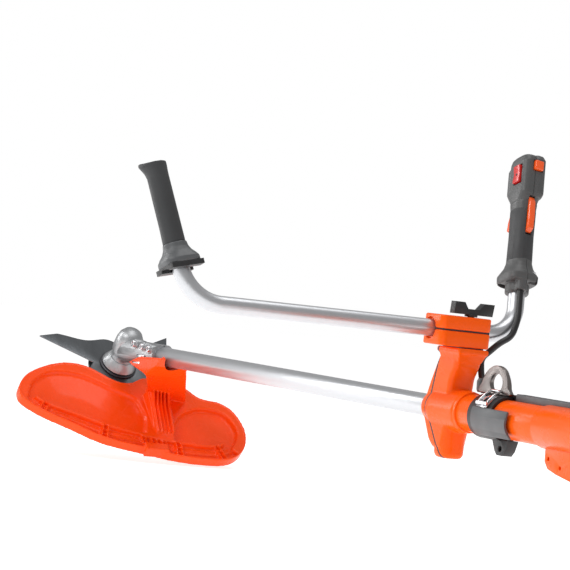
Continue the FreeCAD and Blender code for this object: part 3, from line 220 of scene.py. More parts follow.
FINISHES = {
    "cast_aluminium": dict(colour=(0.46, 0.47, 0.48), shade=0.85, roughness=(0.38, 0.50), metallic=0.95,
                           grain=1400, grain_depth=0.00012, grain_strength=0.5),
    "tube_aluminium": dict(colour=(0.60, 0.61, 0.63), shade=0.95, roughness=(0.30, 0.38), metallic=0.92,
                           grain=260, grain_depth=0.00002, grain_strength=0.05, patch=3.0,
                           stretch=(1, 40, 40)),
    "bright_fasteners": dict(colour=(0.78, 0.78, 0.80), shade=0.9, roughness=(0.14, 0.24), metallic=1.0,
                             grain=1800),
    "gear_steel": dict(colour=(0.42, 0.43, 0.45), shade=0.85, roughness=(0.25, 0.40), metallic=1.0,
                       grain=1500),
    "bearing_steel": dict(colour=(0.68, 0.69, 0.71), shade=0.92, roughness=(0.12, 0.22), metallic=1.0,
                          grain=1500),
    "dark_steel": dict(colour=(0.10, 0.10, 0.11), shade=0.7, roughness=(0.32, 0.45), metallic=0.9,
                       grain=1200),
    "blade_steel": dict(colour=(0.16, 0.17, 0.18), shade=0.75, roughness=(0.30, 0.42), metallic=0.9,
                        grain=500, grain_depth=0.00005, stretch=(1, 6, 1)),
    "eye_steel": dict(colour=(0.25, 0.225, 0.215), shade=0.8, roughness=(0.26, 0.38), metallic=1.0,
                      grain=700, grain_depth=0.00006),
    "muffler_steel": dict(colour=(0.36, 0.34, 0.32), shade=0.7, roughness=(0.30, 0.5), metallic=1.0,
                          grain=900),
    "orange_plastic": dict(colour=(1.0, 0.115, 0.004), shade=0.95, roughness=(0.22, 0.30), coat=0.05,
                           gloss=0.14, grain=1600, grain_depth=0.00002, grain_strength=0.12),
    "guard_plastic": dict(colour=(1.0, 0.072, 0.003), shade=0.94, roughness=(0.22, 0.31), coat=0.14,
                          gloss=0.16, grain=1500, grain_depth=0.00002, grain_strength=0.15),
    "trigger_plastic": dict(colour=(0.93, 0.11, 0.012), shade=0.95, roughness=(0.24, 0.32), coat=0.3),
    "switch_red": dict(colour=(0.60, 0.010, 0.008), shade=0.9, roughness=(0.25, 0.34), coat=0.3),
    "black_plastic": dict(colour=(0.018, 0.018, 0.019), shade=0.75, roughness=(0.38, 0.5), grain=1800,
                          grain_depth=0.00008, grain_strength=0.4),
    "grey_plastic": dict(colour=(0.092, 0.096, 0.100), shade=0.88, roughness=(0.36, 0.48), grain=1800,
                         grain_depth=0.00006, grain_strength=0.35),
    "handle_plastic": dict(colour=(0.082, 0.083, 0.083), shade=0.85, roughness=(0.38, 0.5), grain=1800,
                           grain_depth=0.00008, grain_strength=0.4),
    "tank_plastic": dict(colour=(0.07, 0.07, 0.075), shade=0.85, roughness=(0.36, 0.5), grain=1200),
    "grip_rubber": dict(colour=(0.040, 0.041, 0.043), shade=0.8, roughness=(0.48, 0.62), grain=1500,
                        grain_depth=0.0001, grain_strength=0.5),
    "cable_rubber": dict(colour=(0.012, 0.012, 0.013), shade=0.8, roughness=(0.34, 0.46), grain=1500),
    "rubber_black": dict(colour=(0.015, 0.015, 0.015), shade=0.8, roughness=(0.5, 0.62)),
}
MATERIALS = {name: surface(name, **finish) for name, finish in FINISHES.items()}
SLOT_OF = {entry["node"]: entry["material_slot"] for entry in frame["record"]["subparts"]}
BODY_OF = {node: body for body, nodes in frame["record"]["behaviour"]["bodies"].items() for node in nodes}


# -- pieces ----------------------------------------------------------------------------------------------

def link(name, mesh):
    piece = bpy.data.objects.new(name, mesh)
    bpy.context.scene.collection.objects.link(piece)
    return piece


def apply_modifiers(piece):
    """Makes the modifiers' result the piece's own mesh."""
    graph = bpy.context.evaluated_depsgraph_get()
    finished = bpy.data.meshes.new_from_object(piece.evaluated_get(graph), depsgraph=graph)
    piece.modifiers.clear()
    piece.data = finished
    return piece


def smooth_shade(piece, angle=35):
    for polygon in piece.data.polygons:
        polygon.use_smooth = True
    piece.data.set_sharp_from_angle(angle=math.radians(angle))


def round_edges(piece, width, segments, angle):
    """Rounds the edges sharper than an angle in degrees, by a width in the mesh's own units."""
    rounding = piece.modifiers.new("rounding", "BEVEL")
    rounding.width = width
    rounding.segments = segments
    rounding.limit_method = "ANGLE"
    rounding.angle_limit = math.radians(angle)
    return apply_modifiers(piece)


def finish_piece(piece, body, slot, material=None):
    piece.data.materials.clear()
    piece.data.materials.append(MATERIALS[material or slot])
    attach(piece, body)
    return piece


replaced = set()


def use(piece, node, material=None):
    """Finishes a piece that stands for a CAD node, on that node's body and in its slot."""
    replaced.add(node)
    finish_piece(piece, BODY_OF[node], SLOT_OF[node], material)
    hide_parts(node)
    return piece


def detail(piece, node, slot=None):
    """Finishes a piece of trim that rides with a CAD node's body."""
    return finish_piece(piece, BODY_OF[node], slot or SLOT_OF[node])


def cad_copy(node, name):
    """A fresh mesh with a CAD piece's shape, its triangles merged into flat faces."""
    mesh = frame["nodes"][node].data.copy()
    mesh.materials.clear()
    work = bmesh.new()
    work.from_mesh(mesh)
    bmesh.ops.remove_doubles(work, verts=work.verts, dist=0.00001)
    bmesh.ops.dissolve_limit(work, angle_limit=math.radians(1.0), verts=work.verts, edges=work.edges)
    work.to_mesh(mesh)
    work.free()
    mesh.name = name
    return link(name, mesh)


def dressed(node, width=0.6):
    """A CAD piece with rounded edges, in its own finish."""
    piece = round_edges(cad_copy(node, node + "_body"), width * MM, 2, 28)
    smooth_shade(piece)
    return use(piece, node)


# -- frames of reference ---------------------------------------------------------------------------------

JOINTS = {joint["name"]: joint for joint in frame["joints"]}


def local_frame(origin, x_axis, y_axis):
    """A matrix from millimetres in a piece's own frame to metres in the model's frame."""
    x_axis = Vector(x_axis).normalized()
    y_axis = Vector(y_axis).normalized()
    z_axis = x_axis.cross(y_axis)
    turn = Matrix((x_axis, y_axis, z_axis)).transposed().to_4x4()
    return Matrix.Translation(origin) @ turn @ Matrix.Scale(MM, 4)


MACHINE = local_frame(ORIGIN, (1, 0, 0), (0, 1, 0))
spindle_axis = Vector(JOINTS["blade_spin"]["axis"])
HEAD = local_frame(JOINTS["blade_spin"]["pos_m"], Vector((0, 1, 0)).cross(spindle_axis), (0, 1, 0))
TUBE = local_frame(JOINTS["blade_spin"]["pos_m"], (1, 0, 0), (0, 1, 0))
handle_x = -Vector(JOINTS["start_press"]["axis"])
handle_y = -Vector(JOINTS["trigger_squeeze"]["axis"])
handle_z = handle_x.cross(handle_y)
TRIGGER_PIN = (-15, 206)
RIGHT = local_frame(
    Vector(JOINTS["trigger_squeeze"]["pos_m"]) - (handle_x * TRIGGER_PIN[0] + handle_z * TRIGGER_PIN[1]) * MM,
    handle_x, handle_y)
BAR_RAKE = math.radians(-18)            # the handlebar leans towards the head
LEFT_GRIP_FOOT = (0, -424.4, 0)         # where the left grip's axis meets the bar's axis
LEFT_GRIP_LEAN = math.radians(13.9)     # and how far it leans outward
BAR = local_frame(JOINTS["handlebar_tilt"]["pos_m"], (1, 0, 0), (0, 1, 0)) @ Matrix.Rotation(BAR_RAKE, 4, "Y")
LEFT = BAR @ Matrix.Translation(LEFT_GRIP_FOOT) @ Matrix.Rotation(LEFT_GRIP_LEAN, 4, "X")

BAR_LEVEL = 110.7           # the handlebar's axis above the drive tube's
BAR_ROOM = 12.15            # the clamp's bore, a little wider than the 12 of the bar
WING_SCREW = (20, -2)       # where the clamp's screw stands


# -- solids, as pairs of corners and faces ---------------------------------------------------------------

def prism(points, low, high, across="y"):
    """A flat outline, given in the other two axes, with a thickness along one axis."""
    spots = []
    for level in (low, high):
        for a, b in points:
            spots.append({"x": (level, a, b), "y": (a, level, b), "z": (a, b, level)}[across])
    count = len(points)
    faces = [tuple(range(count)), tuple(range(2 * count - 1, count - 1, -1))]
    for index in range(count):
        after = (index + 1) % count
        faces.append((index, index + count, after + count, after))
    return spots, faces


def slab(span_x, span_y, span_z):
    (x0, x1), (y0, y1), (z0, z1) = span_x, span_y, span_z
    return prism(((x0, y0), (x1, y0), (x1, y1), (x0, y1)), z0, z1, "z")


def rings_to_solid(rings):
    """Skins a stack of rings, with the first and last closed."""
    steps = len(rings[0])
    spots = [spot for ring in rings for spot in ring]
    faces = [tuple(range(steps - 1, -1, -1))]
    for level in range(len(rings) - 1):
        for index in range(steps):
            after = (index + 1) % steps
            base = level * steps
            faces.append((base + index, base + after, base + steps + after, base + steps + index))
    top = (len(rings) - 1) * steps
    faces.append(tuple(top + index for index in range(steps)))
    return spots, faces


def loft(sections, steps=72):
    """Rounded sections (z, half x, half y, squareness, shift x, shift y) skinned along Z."""
    rings = []
    for z, half_x, half_y, square, shift_x, shift_y in sections:
        ring = []
        for step in range(steps):
            angle = 2 * math.pi * step / steps
            c, s = math.cos(angle), math.sin(angle)
            x = math.copysign(abs(c) ** (2 / square), c) * half_x + shift_x
            y = math.copysign(abs(s) ** (2 / square), s) * half_y + shift_y
            ring.append((x, y, z))
        rings.append(ring)
    return rings_to_solid(rings)


def lathe(profile, steps=72):
    """A solid of revolution about Z from (radius, z) pairs that start and end near the axis."""
    return loft([(z, max(radius, 0.01), max(radius, 0.01), 2, 0, 0) for radius, z in profile], steps)


def rod(radius, start, end, steps=40):
    """A round bar from one point to another."""
    start, end = Vector(start), Vector(end)
    way = (end - start).normalized()
    side = way.orthogonal().normalized()
    other = way.cross(side)
    rings = []
    for centre in (start, end):
        rings.append([tuple(centre + (side * math.cos(2 * math.pi * k / steps)
                                      + other * math.sin(2 * math.pi * k / steps)) * radius)
                      for k in range(steps)])
    return rings_to_solid(rings)


def screw_bore(radius, low, high):
    """The room that the riser, the clamp and the painted shade in its gaps leave for the wing screw."""
    return rod(radius, (*WING_SCREW, low), (*WING_SCREW, high), 32)


def moved(solid, matrix):
    spots, faces = solid
    return [tuple(matrix @ Vector(spot)) for spot in spots], faces


def build(name, solids, matrix):
    """One mesh object from solids in a piece's own millimetres."""
    spots, faces = [], []
    for more_spots, more_faces in solids:
        start = len(spots)
        spots.extend(more_spots)
        faces.extend(tuple(start + index for index in face) for face in more_faces)
    mesh = bpy.data.meshes.new(name)
    mesh.from_pydata([matrix @ Vector(spot) for spot in spots], [], faces)
    work = bmesh.new()
    work.from_mesh(mesh)
    bmesh.ops.recalc_face_normals(work, faces=work.faces)
    work.to_mesh(mesh)
    work.free()
    return link(name, mesh)


def bevelled(piece, width, segments=3, angle=30):
    smooth_shade(round_edges(piece, width * MM, segments, angle))
    return piece


def carve(piece, solids, matrix):
    """Cuts solids out of a piece."""
    for index, solid in enumerate(solids):
        cutter = build(f"cutter_{index}", [solid], matrix)
        cutting = piece.modifiers.new("cut", "BOOLEAN")
        cutting.operation = "DIFFERENCE"
        cutting.solver = "EXACT"
        cutting.object = cutter
        apply_modifiers(piece)
        bpy.data.objects.remove(cutter)
    return piece


def mould(piece, voxel, rounds=3, strength=0.5):
    """Joins a piece's overlapping solids into one skin with softened edges."""
    joining = piece.modifiers.new("joining", "REMESH")
    joining.mode = "VOXEL"
    joining.voxel_size = voxel * MM
    softening = piece.modifiers.new("softening", "SMOOTH")
    softening.factor = strength
    softening.iterations = rounds
    apply_modifiers(piece)
    smooth_shade(piece, 60)
    return piece


def half_of(piece, name, point, normal):
    """The part of a closed piece on the far side of a plane, closed where it was cut."""
    work = bmesh.new()
    work.from_mesh(piece.data)
    everything = work.verts[:] + work.edges[:] + work.faces[:]
    cut = bmesh.ops.bisect_plane(work, geom=everything, plane_co=point, plane_no=normal, clear_inner=True)
    edges = [item for item in cut["geom_cut"] if isinstance(item, bmesh.types.BMEdge)]
    bmesh.ops.holes_fill(work, edges=edges, sides=0)
    mesh = bpy.data.meshes.new(name)
    work.to_mesh(mesh)
    work.free()
    part = link(name, mesh)
    smooth_shade(part, 60)
    return part


# -- guard -----------------------------------------------------------------------------------------------

GUARD_OUTLINE = (
    (62, -28), (30, -79), (30, -132), (64, -196), (112, -222), (146, -196), (178, -140), (208, -84),
    (226, -9), (240, 60), (240, 138), (214, 180), (168, 199), (122, 192), (98, 170), (88, 130),
    (64, 104), (50, 60), (50, 28), (64, 2),
)
LEFT_DISH = ((112, -206), (80, -190), (56, -160), (48, -130), (52, -92), (66, -62), (80, -39), (90, -16),
             (103, 4), (129, 11), (150, 12), (177, 4), (212, -12), (200, -80), (160, -160), (134, -206))
RIGHT_DISH = ((113, 128), (122, 98), (138, 76), (164, 59), (188, 52), (222, 54), (224, 138), (204, 166),
              (168, 184), (135, 178), (118, 160))
OUTER_EDGE = (0.235, 0.535)     # the stretch of the outline that the channel follows
CLIP_SPOTS = ((150, -187), (203, -84), (238, 52), (236, 138))       # where clips cross the channel
GUARD_LEVEL = -20.0             # the plate's top face, along the spindle
BLOCK_SIDES = (-12.0, 34.0)     # the ribbed block in the middle of the outer edge
BLOCK_RIBS = 5


def smooth_loop(points, per_span=12):
    """A closed Catmull-Rom curve through the points, as an array."""
    spots = []
    count = len(points)
    for index in range(count):
        a, b, c, d = (np.array(points[(index + k - 1) % count], float) for k in range(4))
        for step in range(per_span):
            t = step / per_span
            spots.append(0.5 * (2 * b + (c - a) * t + (2 * a - 5 * b + 4 * c - d) * t ** 2
                                + (3 * b - a - 3 * c + d) * t ** 3))
    return np.array(spots)


def distance_inside(loop, u, v):
    """Signed distance to a closed loop, positive inside, and the nearest place along it."""
    nearest = np.full(u.shape, 1e9)
    place = np.zeros(u.shape)
    inside = np.zeros(u.shape, bool)
    count = len(loop)
    for index in range(count):
        (u0, v0), (u1, v1) = loop[index], loop[(index + 1) % count]
        du, dv = u1 - u0, v1 - v0
        t = np.clip(((u - u0) * du + (v - v0) * dv) / (du * du + dv * dv + 1e-12), 0, 1)
        gap = np.hypot(u - u0 - t * du, v - v0 - t * dv)
        closer = gap < nearest
        nearest[closer] = gap[closer]
        place[closer] = (index + t[closer]) / count
        crosses = ((v0 > v) != (v1 > v)) & (u < (u1 - u0) * (v - v0) / (v1 - v0 + 1e-12) + u0)
        inside ^= crosses
    return np.where(inside, nearest, -nearest), place


def ease(value):
    value = np.clip(value, 0, 1)
    return value * value * (3 - 2 * value)


def widest(depth, reach=3):
    """The deepest value within a few grid steps, which keeps the wall thick at each step down."""
    result = depth.copy()
    for _ in range(reach):
        grown = result.copy()
        grown[1:] = np.maximum(grown[1:], result[:-1])
        grown[:-1] = np.maximum(grown[:-1], result[1:])
        grown[:, 1:] = np.maximum(grown[:, 1:], result[:, :-1])
        grown[:, :-1] = np.maximum(grown[:, :-1], result[:, 1:])
        result = grown
    return result


def between(value, low, high, softness=1.4):
    """1 between two limits and 0 outside them, with soft ends."""
    return ease((value - low) / softness + 0.5) * ease((high - value) / softness + 0.5)


def dish_depth(u, v):
    """The depth of the two wide dishes, which deepen towards their middles."""
    left, _ = distance_inside(smooth_loop(LEFT_DISH, 6), u, v)
    right, _ = distance_inside(smooth_loop(RIGHT_DISH, 6), u, v)
    depth = 7 * ease(left / 6) + 7 * ease(left / 55)
    return np.maximum(depth, 10 * ease(right / 4) + 2 * ease(right / 40))


def channel_depth(edge, width):
    """The depth of the trough along the outer edge, with two ridges along it."""
    trough = 8 * between(edge, 3, width - 1)
    inner_ridge = 4.5 * between(edge, width * 0.42, width * 0.42 + 2)
    ridges = inner_ridge + 3.5 * between(edge, width * 0.7, width * 0.7 + 2)
    return trough - ridges


def clip_depth(edge, width, along):
    """The depth of a clip across the channel: a ladder of rungs between two raised sides."""
    rungs = sum(between(edge, width * share, width * share + 2.4) for share in (0.06, 0.38, 0.68))
    return np.where(along < 4.2, 8.5 - 8 * np.clip(rungs, 0, 1), -1.0)


def block_depth(edge, v):
    """The depth of the ribbed block in the middle of the outer edge."""
    pitch = (BLOCK_SIDES[1] - BLOCK_SIDES[0]) / BLOCK_RIBS
    gap = np.abs((v - BLOCK_SIDES[0]) % pitch - pitch / 2)
    ribbed = np.where(gap < pitch / 2 - 1.5, 7.5, 0.0)
    return np.where((edge > 30) | (edge < 12), 0.0, ribbed)


def guard_depth(u, v):
    """How far the shield's top face lies below its rim, at points of its plan, and the way to its edge."""
    outline = smooth_loop(GUARD_OUTLINE)
    edge, place = distance_inside(outline, u, v)
    spans = np.hypot(*(np.roll(outline, -1, 0) - outline).T)
    marks = np.arange(len(outline) + 1) / len(outline)
    lengths = np.concatenate([[0], np.cumsum(spans)])
    run = np.interp(place, marks, lengths)      # millimetres along the outline
    outer = (place > OUTER_EDGE[0]) & (place < OUTER_EDGE[1])
    width = 21 + 12 * ease((v + 190) / 130)     # the channel widens from left to right
    depth = dish_depth(u, v)
    depth = np.where(outer, depth * ease((edge - width - 4) / 4), depth)
    channel = outer & (edge < width + 2)
    depth = np.where(channel, channel_depth(edge, width), depth)
    for spot_u, spot_v in CLIP_SPOTS:
        _, where = distance_inside(outline, np.array([float(spot_u)]), np.array([float(spot_v)]))
        along = np.abs(run - np.interp(where, marks, lengths)[0])
        depth = np.where(channel & (along < 7.2), clip_depth(edge, width, along), depth)
    block = (v > BLOCK_SIDES[0]) & (v < BLOCK_SIDES[1]) & outer & (edge < 36) & (edge > 2)
    return np.where(block, block_depth(edge, v), depth), edge


def guard_plate():
    """The dished plate as a closed shell, on a grid inside the outline."""
    step, wall = 1.6, 3.2
    loop = smooth_loop(GUARD_OUTLINE)
    us = np.arange(loop[:, 0].min(), loop[:, 0].max() + step, step)
    vs = np.arange(loop[:, 1].min(), loop[:, 1].max() + step, step)
    u, v = np.meshgrid(us, vs, indexing="ij")
    depth, edge = guard_depth(u, v)
    keep = edge > 1.4
    number = -np.ones(u.shape, int)
    number[keep] = np.arange(keep.sum())
    total = int(keep.sum())
    top = np.stack([u[keep], v[keep], GUARD_LEVEL - depth[keep]], 1)
    bottom = np.stack([u[keep], v[keep], GUARD_LEVEL - wall - widest(np.maximum(depth, 0))[keep]], 1)
    spots = [tuple(spot) for spot in np.concatenate([top, bottom])]
    full = keep[:-1, :-1] & keep[1:, :-1] & keep[1:, 1:] & keep[:-1, 1:]
    faces = []
    for i, j in zip(*np.nonzero(full)):
        a, b, c, d = number[i, j], number[i + 1, j], number[i + 1, j + 1], number[i, j + 1]
        faces.append((a, b, c, d))
        faces.append((d + total, c + total, b + total, a + total))
    sides = [side for quad in faces[::2] for side in zip(quad, quad[1:] + quad[:1])]
    shared = set(sides)
    for first, second in sides:
        if (second, first) not in shared:
            faces.append((second, first, first + total, second + total))
    return spots, [tuple(int(index) for index in face) for face in faces]


def guard_ring(low, high, wall, wanted=lambda spot: True):
    """A wall that follows the outline just inside its edge, where it is wanted."""
    loop = smooth_loop(GUARD_OUTLINE)
    along = np.roll(loop, -1, 0) - np.roll(loop, 1, 0)
    along /= np.linalg.norm(along, axis=1)[:, None]
    inner = loop + np.stack([-along[:, 1], along[:, 0]], 1) * wall
    count = len(loop)
    kept = [wanted(spot) for spot in loop]
    spots, faces = [], []
    for (u, v), (u_in, v_in) in zip(loop, inner):
        spots += [(u, v, low), (u, v, high), (u_in, v_in, high), (u_in, v_in, low)]
    for index in range(count):
        after = (index + 1) % count
        if not (kept[index] and kept[after]):
            continue
        for corner in range(4):
            other = (corner + 1) % 4
            faces.append((4 * index + corner, 4 * index + other, 4 * after + other, 4 * after + corner))
        if not kept[index - 1]:
            faces.append(tuple(4 * index + corner for corner in range(4)))
        if not kept[(after + 1) % count]:
            faces.append(tuple(4 * after + corner for corner in (3, 2, 1, 0)))
    used = sorted({index for face in faces for index in face})
    renumber = {old: new for new, old in enumerate(used)}
    return [spots[index] for index in used], [tuple(renumber[index] for index in face) for face in faces]


FACE_TOP = ((171, -22, 140), (167, 27, 121))        # the neck's rear face, against the drive tube
FACE_FOOT = ((100, 18, 0), (104, 98, -19))          # and where it meets the plate
ARM_SIDE = ((79, 43), (86, 54), (101, 77), (138, 112), (162, 134), (171, 141), (169, 120), (150, 80),
            (130, 70), (111, 59), (95, 50))
RIB_SIDE = ((96, -22), (110, 12), (130, -2), (184, -15), (188, -22))


def hull(points):
    """The convex solid round a set of points."""
    work = bmesh.new()
    for point in points:
        work.verts.new(point)
    result = bmesh.ops.convex_hull(work, input=work.verts)
    spare = {item for item in result["geom_interior"] + result["geom_unused"]
             if isinstance(item, bmesh.types.BMVert)}
    bmesh.ops.delete(work, geom=list(spare), context="VERTS")
    work.verts.ensure_lookup_table()
    spots = [tuple(vert.co) for vert in work.verts]
    faces = [tuple(vert.index for vert in face.verts) for face in work.faces]
    work.free()
    return spots, faces


def guard_neck():
    """The leaning wall from the plate up to the drive tube, its arm under the gear head and its ribs."""
    wall = hull([(u - step, v, w) for u, v, w in FACE_TOP + FACE_FOOT for step in (0, 9)]
                + [(92, 22, -22), (95, 98, -22)])
    fold = hull([(150, -31, 80), (169, -30, 138), (171, -22, 140), (100, 18, 0), (90, 22, -2), (140, -26, 78),
                 (160, -22, 136)])
    arm = prism(ARM_SIDE, -31, 31)
    ramp = hull([(100, 18, 0), (106, 62, -8), (186, 20, -19), (180, 54, -19), (92, 16, -22), (92, 62, -22),
                 (188, 16, -22), (182, 58, -22)])
    ribs = [prism(RIB_SIDE, v, v + 2.6) for v in (22, 29, 36, 43, 50)]
    box = slab((216, 232), (-13, 30), (-35, -15))
    return [wall, fold, arm, ramp, box] + ribs


def guard():
    """The plate with its rim, a deeper skirt where it lies outside the blade's circle, and the neck."""
    solids = [
        guard_plate(),
        guard_ring(GUARD_LEVEL - 3, GUARD_LEVEL + 0.8, 3.0),
        guard_ring(GUARD_LEVEL - 17, GUARD_LEVEL - 2, 3.0, lambda spot: math.hypot(*spot) > 161),
    ]
    piece = build("guard_shell", solids + guard_neck(), HEAD)
    mould(piece, 1.5, 3)
    thinning = piece.modifiers.new("thinning", "DECIMATE")
    thinning.ratio = 0.42
    apply_modifiers(piece)
    tube_room = rod(21.9, (20, 0, 0), (230, 0, 0), 64)
    saddle_room = rod(24.9, (103.6, 0, 0), (134.4, 0, 0), 64)
    carve(piece, [tube_room, saddle_room], TUBE)
    smooth_shade(piece, 50)
    return use(piece, "guard")


guard()


# -- riser -----------------------------------------------------------------------------------------------

RISER_SIDE = ((-22, 78), (-30, 62), (-42, 36), (-52, 10), (-52, -12), (-31, -46), (-18, -56), (8, -56),
              (16, -20), (14, 26), (16, 44), (26, 62), (30, 78))
RISER_SEAM = ((-17, 92), (-35, 6), (-34, -12), (14, -76))
SEAM_GAP = 1.9
RISER_SCREWS = ((-40, 13, 40), (-40, 15, -28), (-25, 12, -52))     # and mirrored across the middle
# the width of the painted shade in the seam, as a share of the shells' width
SEAM_SHADE_WIDTH = 0.997          # of the shells' width
TUBE_BORE = 16.05           # for the drive tube, 16 in radius
HOUSING_BORE = 26.3         # for the housing tube, 26.2 in radius


def beyond_seam(in_front, gap=SEAM_GAP):
    """The room that the front or rear shell leaves free: all on the seam's other side, and the gap."""
    shift = -gap if in_front else gap
    line = [(x + shift, z) for x, z in RISER_SEAM]
    edge = 95 if in_front else -95
    return prism([(edge, 105), (line[0][0], 105)] + line + [(line[-1][0], -95), (edge, -95)], -70, 70)


def rounded(solid, width):
    """A solid with its edges rounded, in its own millimetres."""
    piece = round_edges(build("rounded", [solid], Matrix.Identity(4)), width, 4, 20)
    spots = [tuple(vert.co) for vert in piece.data.vertices]
    faces = [tuple(polygon.vertices) for polygon in piece.data.polygons]
    bpy.data.objects.remove(piece)
    return spots, faces


def riser():
    """Both shells of the riser, cut from one soft casting along the seam, and painted shade in the gap between
    them.
    """
    front, rear, left, right = -24, 37, -25, 24     # the flange's sides
    column = rounded(prism(RISER_SIDE, -20.5, 20.5), 7)
    flange = rounded(slab((front, rear), (left, right), (79, 87)), 2.5)
    flare = hull([(x, y, z) for z, in_x, in_y in ((80, 2, 2), (67, 9, 6))
                  for x in (front + in_x, rear - in_x) for y in (left + in_y, right - in_y)])
    foot = loft([(-68, 13, 13, 2.6, -2, 0), (-66.5, 16.5, 16.5, 2.6, -2, 0), (-62, 18.8, 18.8, 2.7, -2, 0),
                 (-10, 20, 20, 2.7, -3, 0)])
    barrel = rod(29.5, (-26, 0, 0), (40, 0, 0), 64)
    collar = rod(28.4, (40, 0, 0), (47.5, 0, 0), 64)
    cone = moved(loft([(-54, 22, 22, 2, 0, 0), (-26, 29.5, 29.5, 2, 0, 0)], 64),
                 Matrix.Rotation(math.radians(90), 4, "Y"))
    whole = build("riser_whole", [column, flange, flare, foot, barrel, collar, cone], MACHINE)
    mould(whole, 1.1, 7)
    carve(whole, [rod(TUBE_BORE, (-70, 0, 0), (60, 0, 0), 64), rod(HOUSING_BORE, (20, 0, 0), (70, 0, 0), 64),
                  screw_bore(5.05, 62, 95)], MACHINE)
    screw_wells = [rod(4.0, (x - 12, y * side, z), (x + 3, y * side, z), 28)
                   for x, y, z in RISER_SCREWS for side in (-1, 1)]
    for node, in_front in (("riser_front", True), ("riser_rear", False)):
        part = link(node + "_casting", whole.data.copy())
        carve(part, [beyond_seam(in_front)], MACHINE)
        if in_front:
            carve(part, screw_wells, MACHINE)
        bevelled(part, 0.7, 2, 50)
        use(part, node)
    # painted shade: a black strip that fills the seam's gap between the two shells
    seam_shade = link("riser_seam_shade", whole.data.copy())
    carve(seam_shade, [beyond_seam(True, -SEAM_GAP), beyond_seam(False, -SEAM_GAP)], MACHINE)
    for vert in seam_shade.data.vertices:
        vert.co.y = ORIGIN.y + (vert.co.y - ORIGIN.y) * SEAM_SHADE_WIDTH
    detail(seam_shade, "riser_rear", "black_plastic")
    bpy.data.objects.remove(whole)


riser()


# -- handlebar clamp -------------------------------------------------------------------------------------

def bar_bore(radius, steps):
    """The room that the clamp leaves for the bar."""
    return rod(radius, (0, -70, BAR_LEVEL), (0, 50, BAR_LEVEL), steps)


def clamp_half(node, low, high):
    """Half of the handlebar clamp: a block with full corners round the bar and the wing screw."""
    corners = [(x + 9 * math.cos(a), y + 9 * math.sin(a))
               for x, y, start in ((25, 18, 0), (-11, 18, 90), (-11, -45, 180), (25, -45, 270))
               for a in (math.radians(start + 15 * k) for k in range(7))]
    block = bevelled(build(node + "_block", [prism(corners, low, high, "z")], MACHINE), 2.4, 4, 40)
    waist = [rod(7, (41, y, low - 5), (41, y, high + 5), 40) for y in (-20, 16)]
    bar_mouth = rod(15.5, (0, -70, BAR_LEVEL), (0, -50, BAR_LEVEL), 56)
    carve(block, [bar_bore(BAR_ROOM, 56), bar_mouth, screw_bore(5.2, 60, 150)] + waist, MACHINE)
    smooth_shade(block, 40)
    use(block, node)


clamp_half("lower_clamp", 88.4, 109.6)
clamp_half("upper_clamp", 111.8, 130.6)


# -- right handle ----------------------------------------------------------------------------------------

RIGHT_BORE = 12.05


def right_handle():
    """The two shells of the throttle handle, one moulding cut along the middle."""
    grip = loft([
        (78, 19.5, 17, 2.2, 0, 0), (104, 20.0, 17.5, 2.3, 0, 0), (120, 18.8, 16.2, 2.3, 0, 0),
        (150, 18.2, 15.8, 2.3, 0, 0), (186, 18.6, 16.2, 2.4, 0, 0), (200, 20, 17, 2.6, 0, 0),
    ])
    stop = loft([
        (77, 25, 22, 3.4, -1, 0), (79, 27, 24, 3.6, -1, 0), (88, 27.5, 24.5, 3.6, -1, 0),
        (93, 25, 22, 3.2, -1, 0), (100, 21.5, 18.5, 2.8, -0.5, 0), (110, 18.8, 16.4, 2.4, 0, 0),
    ])
    head = loft([
        (196, 17, 15, 2.4, 0, 0), (204, 21, 16.5, 3.0, 0, 0), (213, 23.5, 17.2, 4.0, 0.5, 0),
        (240, 24, 17.6, 4.4, 0.8, 0), (262, 23.5, 17.2, 4.2, 1.2, 0), (268, 22, 16, 3.8, 1.2, 0),
        (272, 18, 13, 3.2, 1.5, 0),
    ])
    nose = loft([(208, 7, 9, 2.2, -17, -4), (216, 9.5, 13.5, 2.4, -16.5, -4),
                 (252, 9.5, 13.5, 2.4, -16.5, -4), (261, 7, 9, 2.2, -15, -4)], 48)
    collar = loft([(62.5, 15.6, 15.6, 2.2, 0, 0), (64, 16.6, 16.6, 2.2, 0, 0), (88, 17, 17, 2.2, 0, 0)])
    gland = rod(8.5, (17, -4.5, 63), (17, -4.5, 92))
    cheek = loft([(208, 12, 8, 3.2, 11, 9), (214, 14, 9.6, 3.6, 11.5, 9.4), (266, 14, 9.6, 3.6, 11.5, 9.4),
                  (272.5, 11, 7.5, 3.2, 11, 9)], 48)
    whole = build("handle_whole", [grip, stop, head, nose, collar, gland, cheek], RIGHT)
    mould(whole, 0.85, 4)
    carve(whole, [
        rod(RIGHT_BORE, (0, 0, 60), (0, 0, 181), 48),       # for the bar
        rod(4.6, (17, -4.5, 60), (17, -4.5, 76), 32),       # for the throttle cable
        slab((-40, -6), (-5.9, 5.9), (154, 218)),           # the trigger's slot
        slab((3, 40), (-4.7, 4.7), (149, 208)),             # the throttle lock's slot
        slab((-4, 15.5), (-30, -13), (226, 256)),           # the stop rocker's well
        slab((10.8, 40), (-4, 12), (246, 263)),             # the start key's well
        slab((-25, -12), (-21, -4), (73, 88)),              # three hollows under the hand stop
        slab((-25, -12), (4, 21), (73, 88)),
        slab((17, 24), (6, 20), (73, 88)),
    ], RIGHT)
    middle = RIGHT @ Vector((0, 0, 0))
    across = (RIGHT @ Vector((0, 1, 0)) - middle).normalized()
    for node, side in (("handle_shell_left", -1), ("handle_shell_right", 1)):
        shell = half_of(whole, node + "_moulding", middle + across * side * 0.35 * MM, across * side)
        bevelled(shell, 0.5, 2, 60)
        use(shell, node)
    bpy.data.objects.remove(whole)


